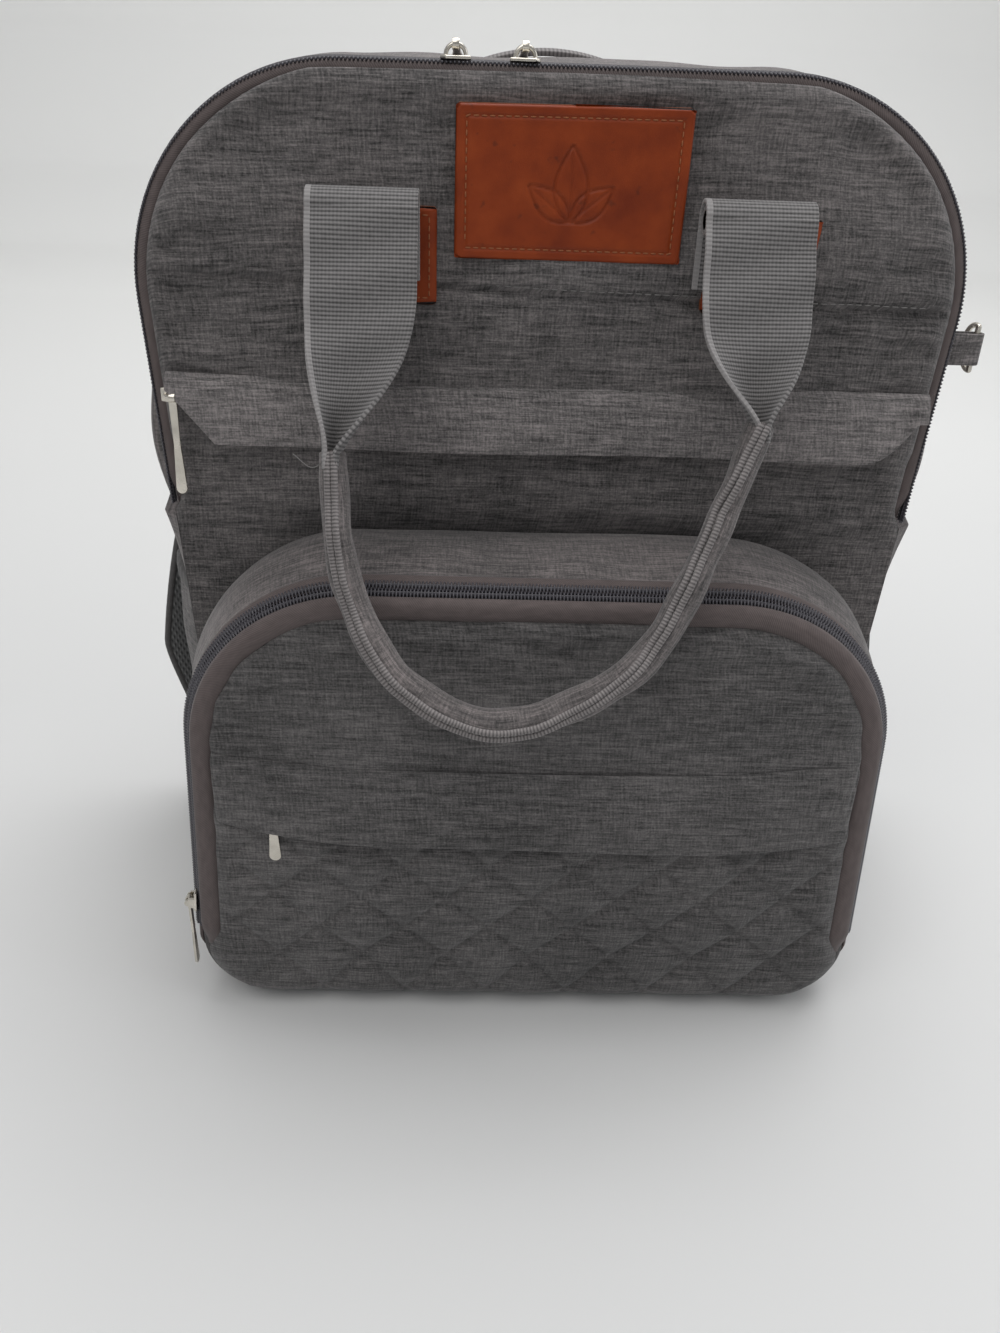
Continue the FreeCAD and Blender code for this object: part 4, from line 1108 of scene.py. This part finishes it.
# Each edge is an arc through three points (x, z), from its lower end to its upper one.
STRAP_INNER = (0.154, 0.050), (0.124, 0.205), (0.031, 0.371)
STRAP_OUTER = (0.2065, 0.068), (0.172, 0.222), (0.083, 0.3735)
STRAP_TIP = (0.189, 0.037)
# The webbing below curves inwards to its anchor in the bag's corner.
WEB_INNER = (0.155, 0.052), (0.149, 0.039), (0.135, 0.033)
WEB_OUTER = (0.187, 0.037), (0.173, 0.013), (0.147, 0.0075)
ANCHOR = [(0.104, 0.005, 0.003), (0.146, 0.005, 0.003), (0.141, 0.040, 0.003), (0.104, 0.018, 0.003)]


def arc3(a, b, c, n):
    """Points on the circle through three points, from the first to the last, at an even pitch."""
    (ax, ay), (bx, by), (cx, cy) = a, b, c
    d = 2 * (ax * (by - cy) + bx * (cy - ay) + cx * (ay - by))
    ux = ((ax**2 + ay**2) * (by - cy) + (bx**2 + by**2) * (cy - ay) + (cx**2 + cy**2) * (ay - by)) / d
    uy = ((ax**2 + ay**2) * (cx - bx) + (bx**2 + by**2) * (ax - cx) + (cx**2 + cy**2) * (bx - ax)) / d
    r = math.hypot(ax - ux, ay - uy)
    start, mid, end = (math.atan2(p[1] - uy, p[0] - ux) for p in (a, b, c))
    sweep = (end - start) % TAU
    if (mid - start) % TAU > sweep:
        sweep -= TAU
    t = start + sweep * np.linspace(0, 1, n)
    return np.stack([ux + r * np.cos(t), uy + r * np.sin(t)], 1)


def strap(side, name):
    """A shoulder strap: its padded run, the webbing and ladder lock below, and its corner anchor."""
    low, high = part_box("strap_pad_" + name)
    mid_y, half = (low.y + high.y) / 2, (high.y - low.y) / 2
    n = 110
    inner, outer = arc3(*STRAP_INNER, n)[::-1], arc3(*STRAP_OUTER, n)[::-1]
    tip = smooth(0.90, 1.0, np.linspace(0, 1, n))[:, None]
    outer = outer + tip * (np.array(STRAP_TIP) - outer[-1]) * np.array([1.0, 0.9])
    s = np.linspace(-1, 1, 29)
    across = (1 + s[None, :, None]) / 2
    flat = inner[:, None] * (1 - across) + outer[:, None] * across
    t = np.linspace(0, 1, n)
    ends = np.sqrt(1 - (1 - np.clip(np.minimum(t, 1 - t) / 0.02, 0, 1)) ** 2)
    thick = half * 0.96 * (1 - np.abs(s[None]) ** 5) ** 0.5 * (0.25 + 0.75 * ends[:, None])
    waist = ripple(flat[..., 0], flat[..., 1], 0.05, 81) * 0.0005
    pieces = []
    for sign, material in ((-1, MESH), (1, CLOTH)):
        y = mid_y + sign * (thick + waist * (thick > 0.001))
        points = np.stack([side * flat[..., 0], y, flat[..., 1]], 2)
        pieces.append(planar(grid("strap_face", points, material, flip=(sign * side) > 0)))
    rim = np.concatenate([flat[:, 0], flat[-1, 1:], flat[::-1, -1][1:]])
    mirror = np.array([side, 1])
    path = at_depth(rim * mirror, mid_y)
    pieces.append(tube("strap_binding", path, oval(0.0021, 0.0040, 10, 2.6), EDGE_TAPE))
    line = at_depth(flat[4:-6, 14] * mirror, mid_y + half * 0.97)
    pieces.append(tube("strap_tape", line, oval(0.0125, 0.0011, 12, 4), WEBBING))
    pad = join("strap_pad_soft_" + name, pieces)
    done(pad, "strap_" + name, "strap_mesh", "strap_pad_" + name)
    a, b = arc3(*WEB_INNER, 24), arc3(*WEB_OUTER, 24)
    u = np.linspace(0.03, 0.97, 18)[None, :, None]
    band = a[:, None] * (1 - u) + b[:, None] * u
    web_low, web_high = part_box("strap_webbing_right")
    y = np.full(band.shape[:2], (web_low.y + web_high.y) / 2)
    loop = grid("strap_web_" + name, np.stack([side * band[..., 0], y, band[..., 1]], 2), BLACK_WEBBING)
    done(thicken(loop, 0.0016, 0, 0.0003), "strap_" + name, "webbing", "strap_webbing_" + name)
    node = "ladder_lock_" + name
    done(cad_copy(node, BLACK_PLASTIC, 0.0003), "strap_" + name, "buckle", node)
    tab = ANCHOR if side > 0 else [(-x, z, r) for x, z, r in reversed(ANCHOR)]
    anchor = pillow("anchor_cloth_" + name, tab, BACK + 0.0002, 0.0022, CLOTH, roll_in=0.002, step=0.0015,
                    back=True)
    done(anchor, "bag", "webbing", "strap_anchor_" + name)


# ---- Stage ---------------------------------------------------------------------------------------


CAMERA_PLACE = (-0.031, -0.473, 0.400)
CAMERA_DOWN, CAMERA_YAW, CAMERA_ROLL = (math.radians(a) for a in (28.9, -2.0, 2.2))
LENS, SENSOR = 29.7, 36
AIM = Vector((0, 0, 0.2))
LIGHTS = (              # name, place, size, power and tint
    ("key", (-0.5, -1.1, 1.9), 1.5, 15, (1, 0.99, 0.97)),
    ("top", (0.3, 0.5, 2.2), 1.8, 36, (1, 1, 1)),
    ("side", (1.9, -0.3, 1.0), 1.2, 7, (0.97, 0.985, 1)),
)


def studio():
    """A pale floor that curves up behind and has painted light making it paler far back, soft lights, and the
    camera.
    """
    n = Nodes("floor", rough=0.6)
    tone = n.ramp(n.noise(1.3, 1.3, 2), (0.2, (0.60, 0.602, 0.600)), (0.8, (0.64, 0.642, 0.640)))
    split = n.add("ShaderNodeSeparateXYZ")
    n.link(n.uv, split.inputs[0])
    # Painted light: the floor's colour turns paler towards the back, where the lamps' light falls off.
    far_painted_light = n.math("MULTIPLY", n.math("SUBTRACT", split.outputs[1], 9.2), 0.7)
    far_painted_light = n.ramp(far_painted_light, (0.0, (0, 0, 0)), (1.0, (1, 1, 1)))
    material = n.finish(n.mix(far_painted_light, tone, (0.86, 0.86, 0.845)))
    profile = [(-9.0, 0), (1.6, 0), (2.0, 0.03), (2.3, 0.16), (2.5, 0.45), (2.55, 1.2), (2.55, 3.2)]
    t = np.linspace(0, 1, 60)
    s = np.linspace(0, 1, len(profile))
    y, z = (np.interp(t, s, [p[k] for p in profile]) for k in (0, 1))
    floor = grid("floor", [[(x, a, b) for x in np.linspace(-9, 9, 26)] for a, b in zip(y, z)], material)
    scene = bpy.context.scene
    scene.world = scene.world or bpy.data.worlds.new("world")
    scene.world.use_nodes = True
    sky = scene.world.node_tree.nodes["Background"]
    sky.inputs[0].default_value = (0.97, 0.98, 1.0, 1)
    sky.inputs[1].default_value = 0.40
    for name, place, size, power, tint in LIGHTS:
        light = bpy.data.lights.new(name, "AREA")
        light.size, light.energy, light.color = size, power, tint
        obj = bpy.data.objects.new(name, light)
        obj.location = place
        obj.rotation_euler = (AIM - Vector(place)).to_track_quat("-Z", "Y").to_euler()
        scene.collection.objects.link(obj)
    camera = bpy.data.cameras.new("camera")
    camera.lens, camera.sensor_width = LENS, SENSOR
    camera.dof.use_dof = False
    obj = bpy.data.objects.new("camera", camera)
    turn = Matrix.Rotation(math.pi / 2 - CAMERA_DOWN, 4, "X") @ Matrix.Rotation(CAMERA_ROLL, 4, "Z")
    turn = Matrix.Rotation(CAMERA_YAW, 4, "Z") @ turn
    obj.matrix_world = Matrix.Translation(CAMERA_PLACE) @ turn
    scene.collection.objects.link(obj)
    scene.camera = obj
    scene.view_settings.view_transform = "Standard"


main_cloth()
gusset()
main_zip()
back()
side_pockets()
side_tab()
weather_flap()
flat_zip("upper_zip", "upper_pocket_zip", "front_panel", x0=-0.153, x1=0.142, z=0.278, y=FACE - 0.0038,
         half=0.158, sink=0.0030)
leather()
for side, name in ((1, "right"), (-1, "left")):
    webbing_drop(side, name)
    strap(side, name)
grip()
pocket_body()
pocket_zip()
welt(*pocket_face())
flat_zip("welt_zip", "pocket_welt_zip", "pocket_door", x0=-0.118, x1=0.118, z=0.128, y=POCKET_FACE - 0.0050,
         half=0.142, sink=0.0055)
metalwork()
studio()
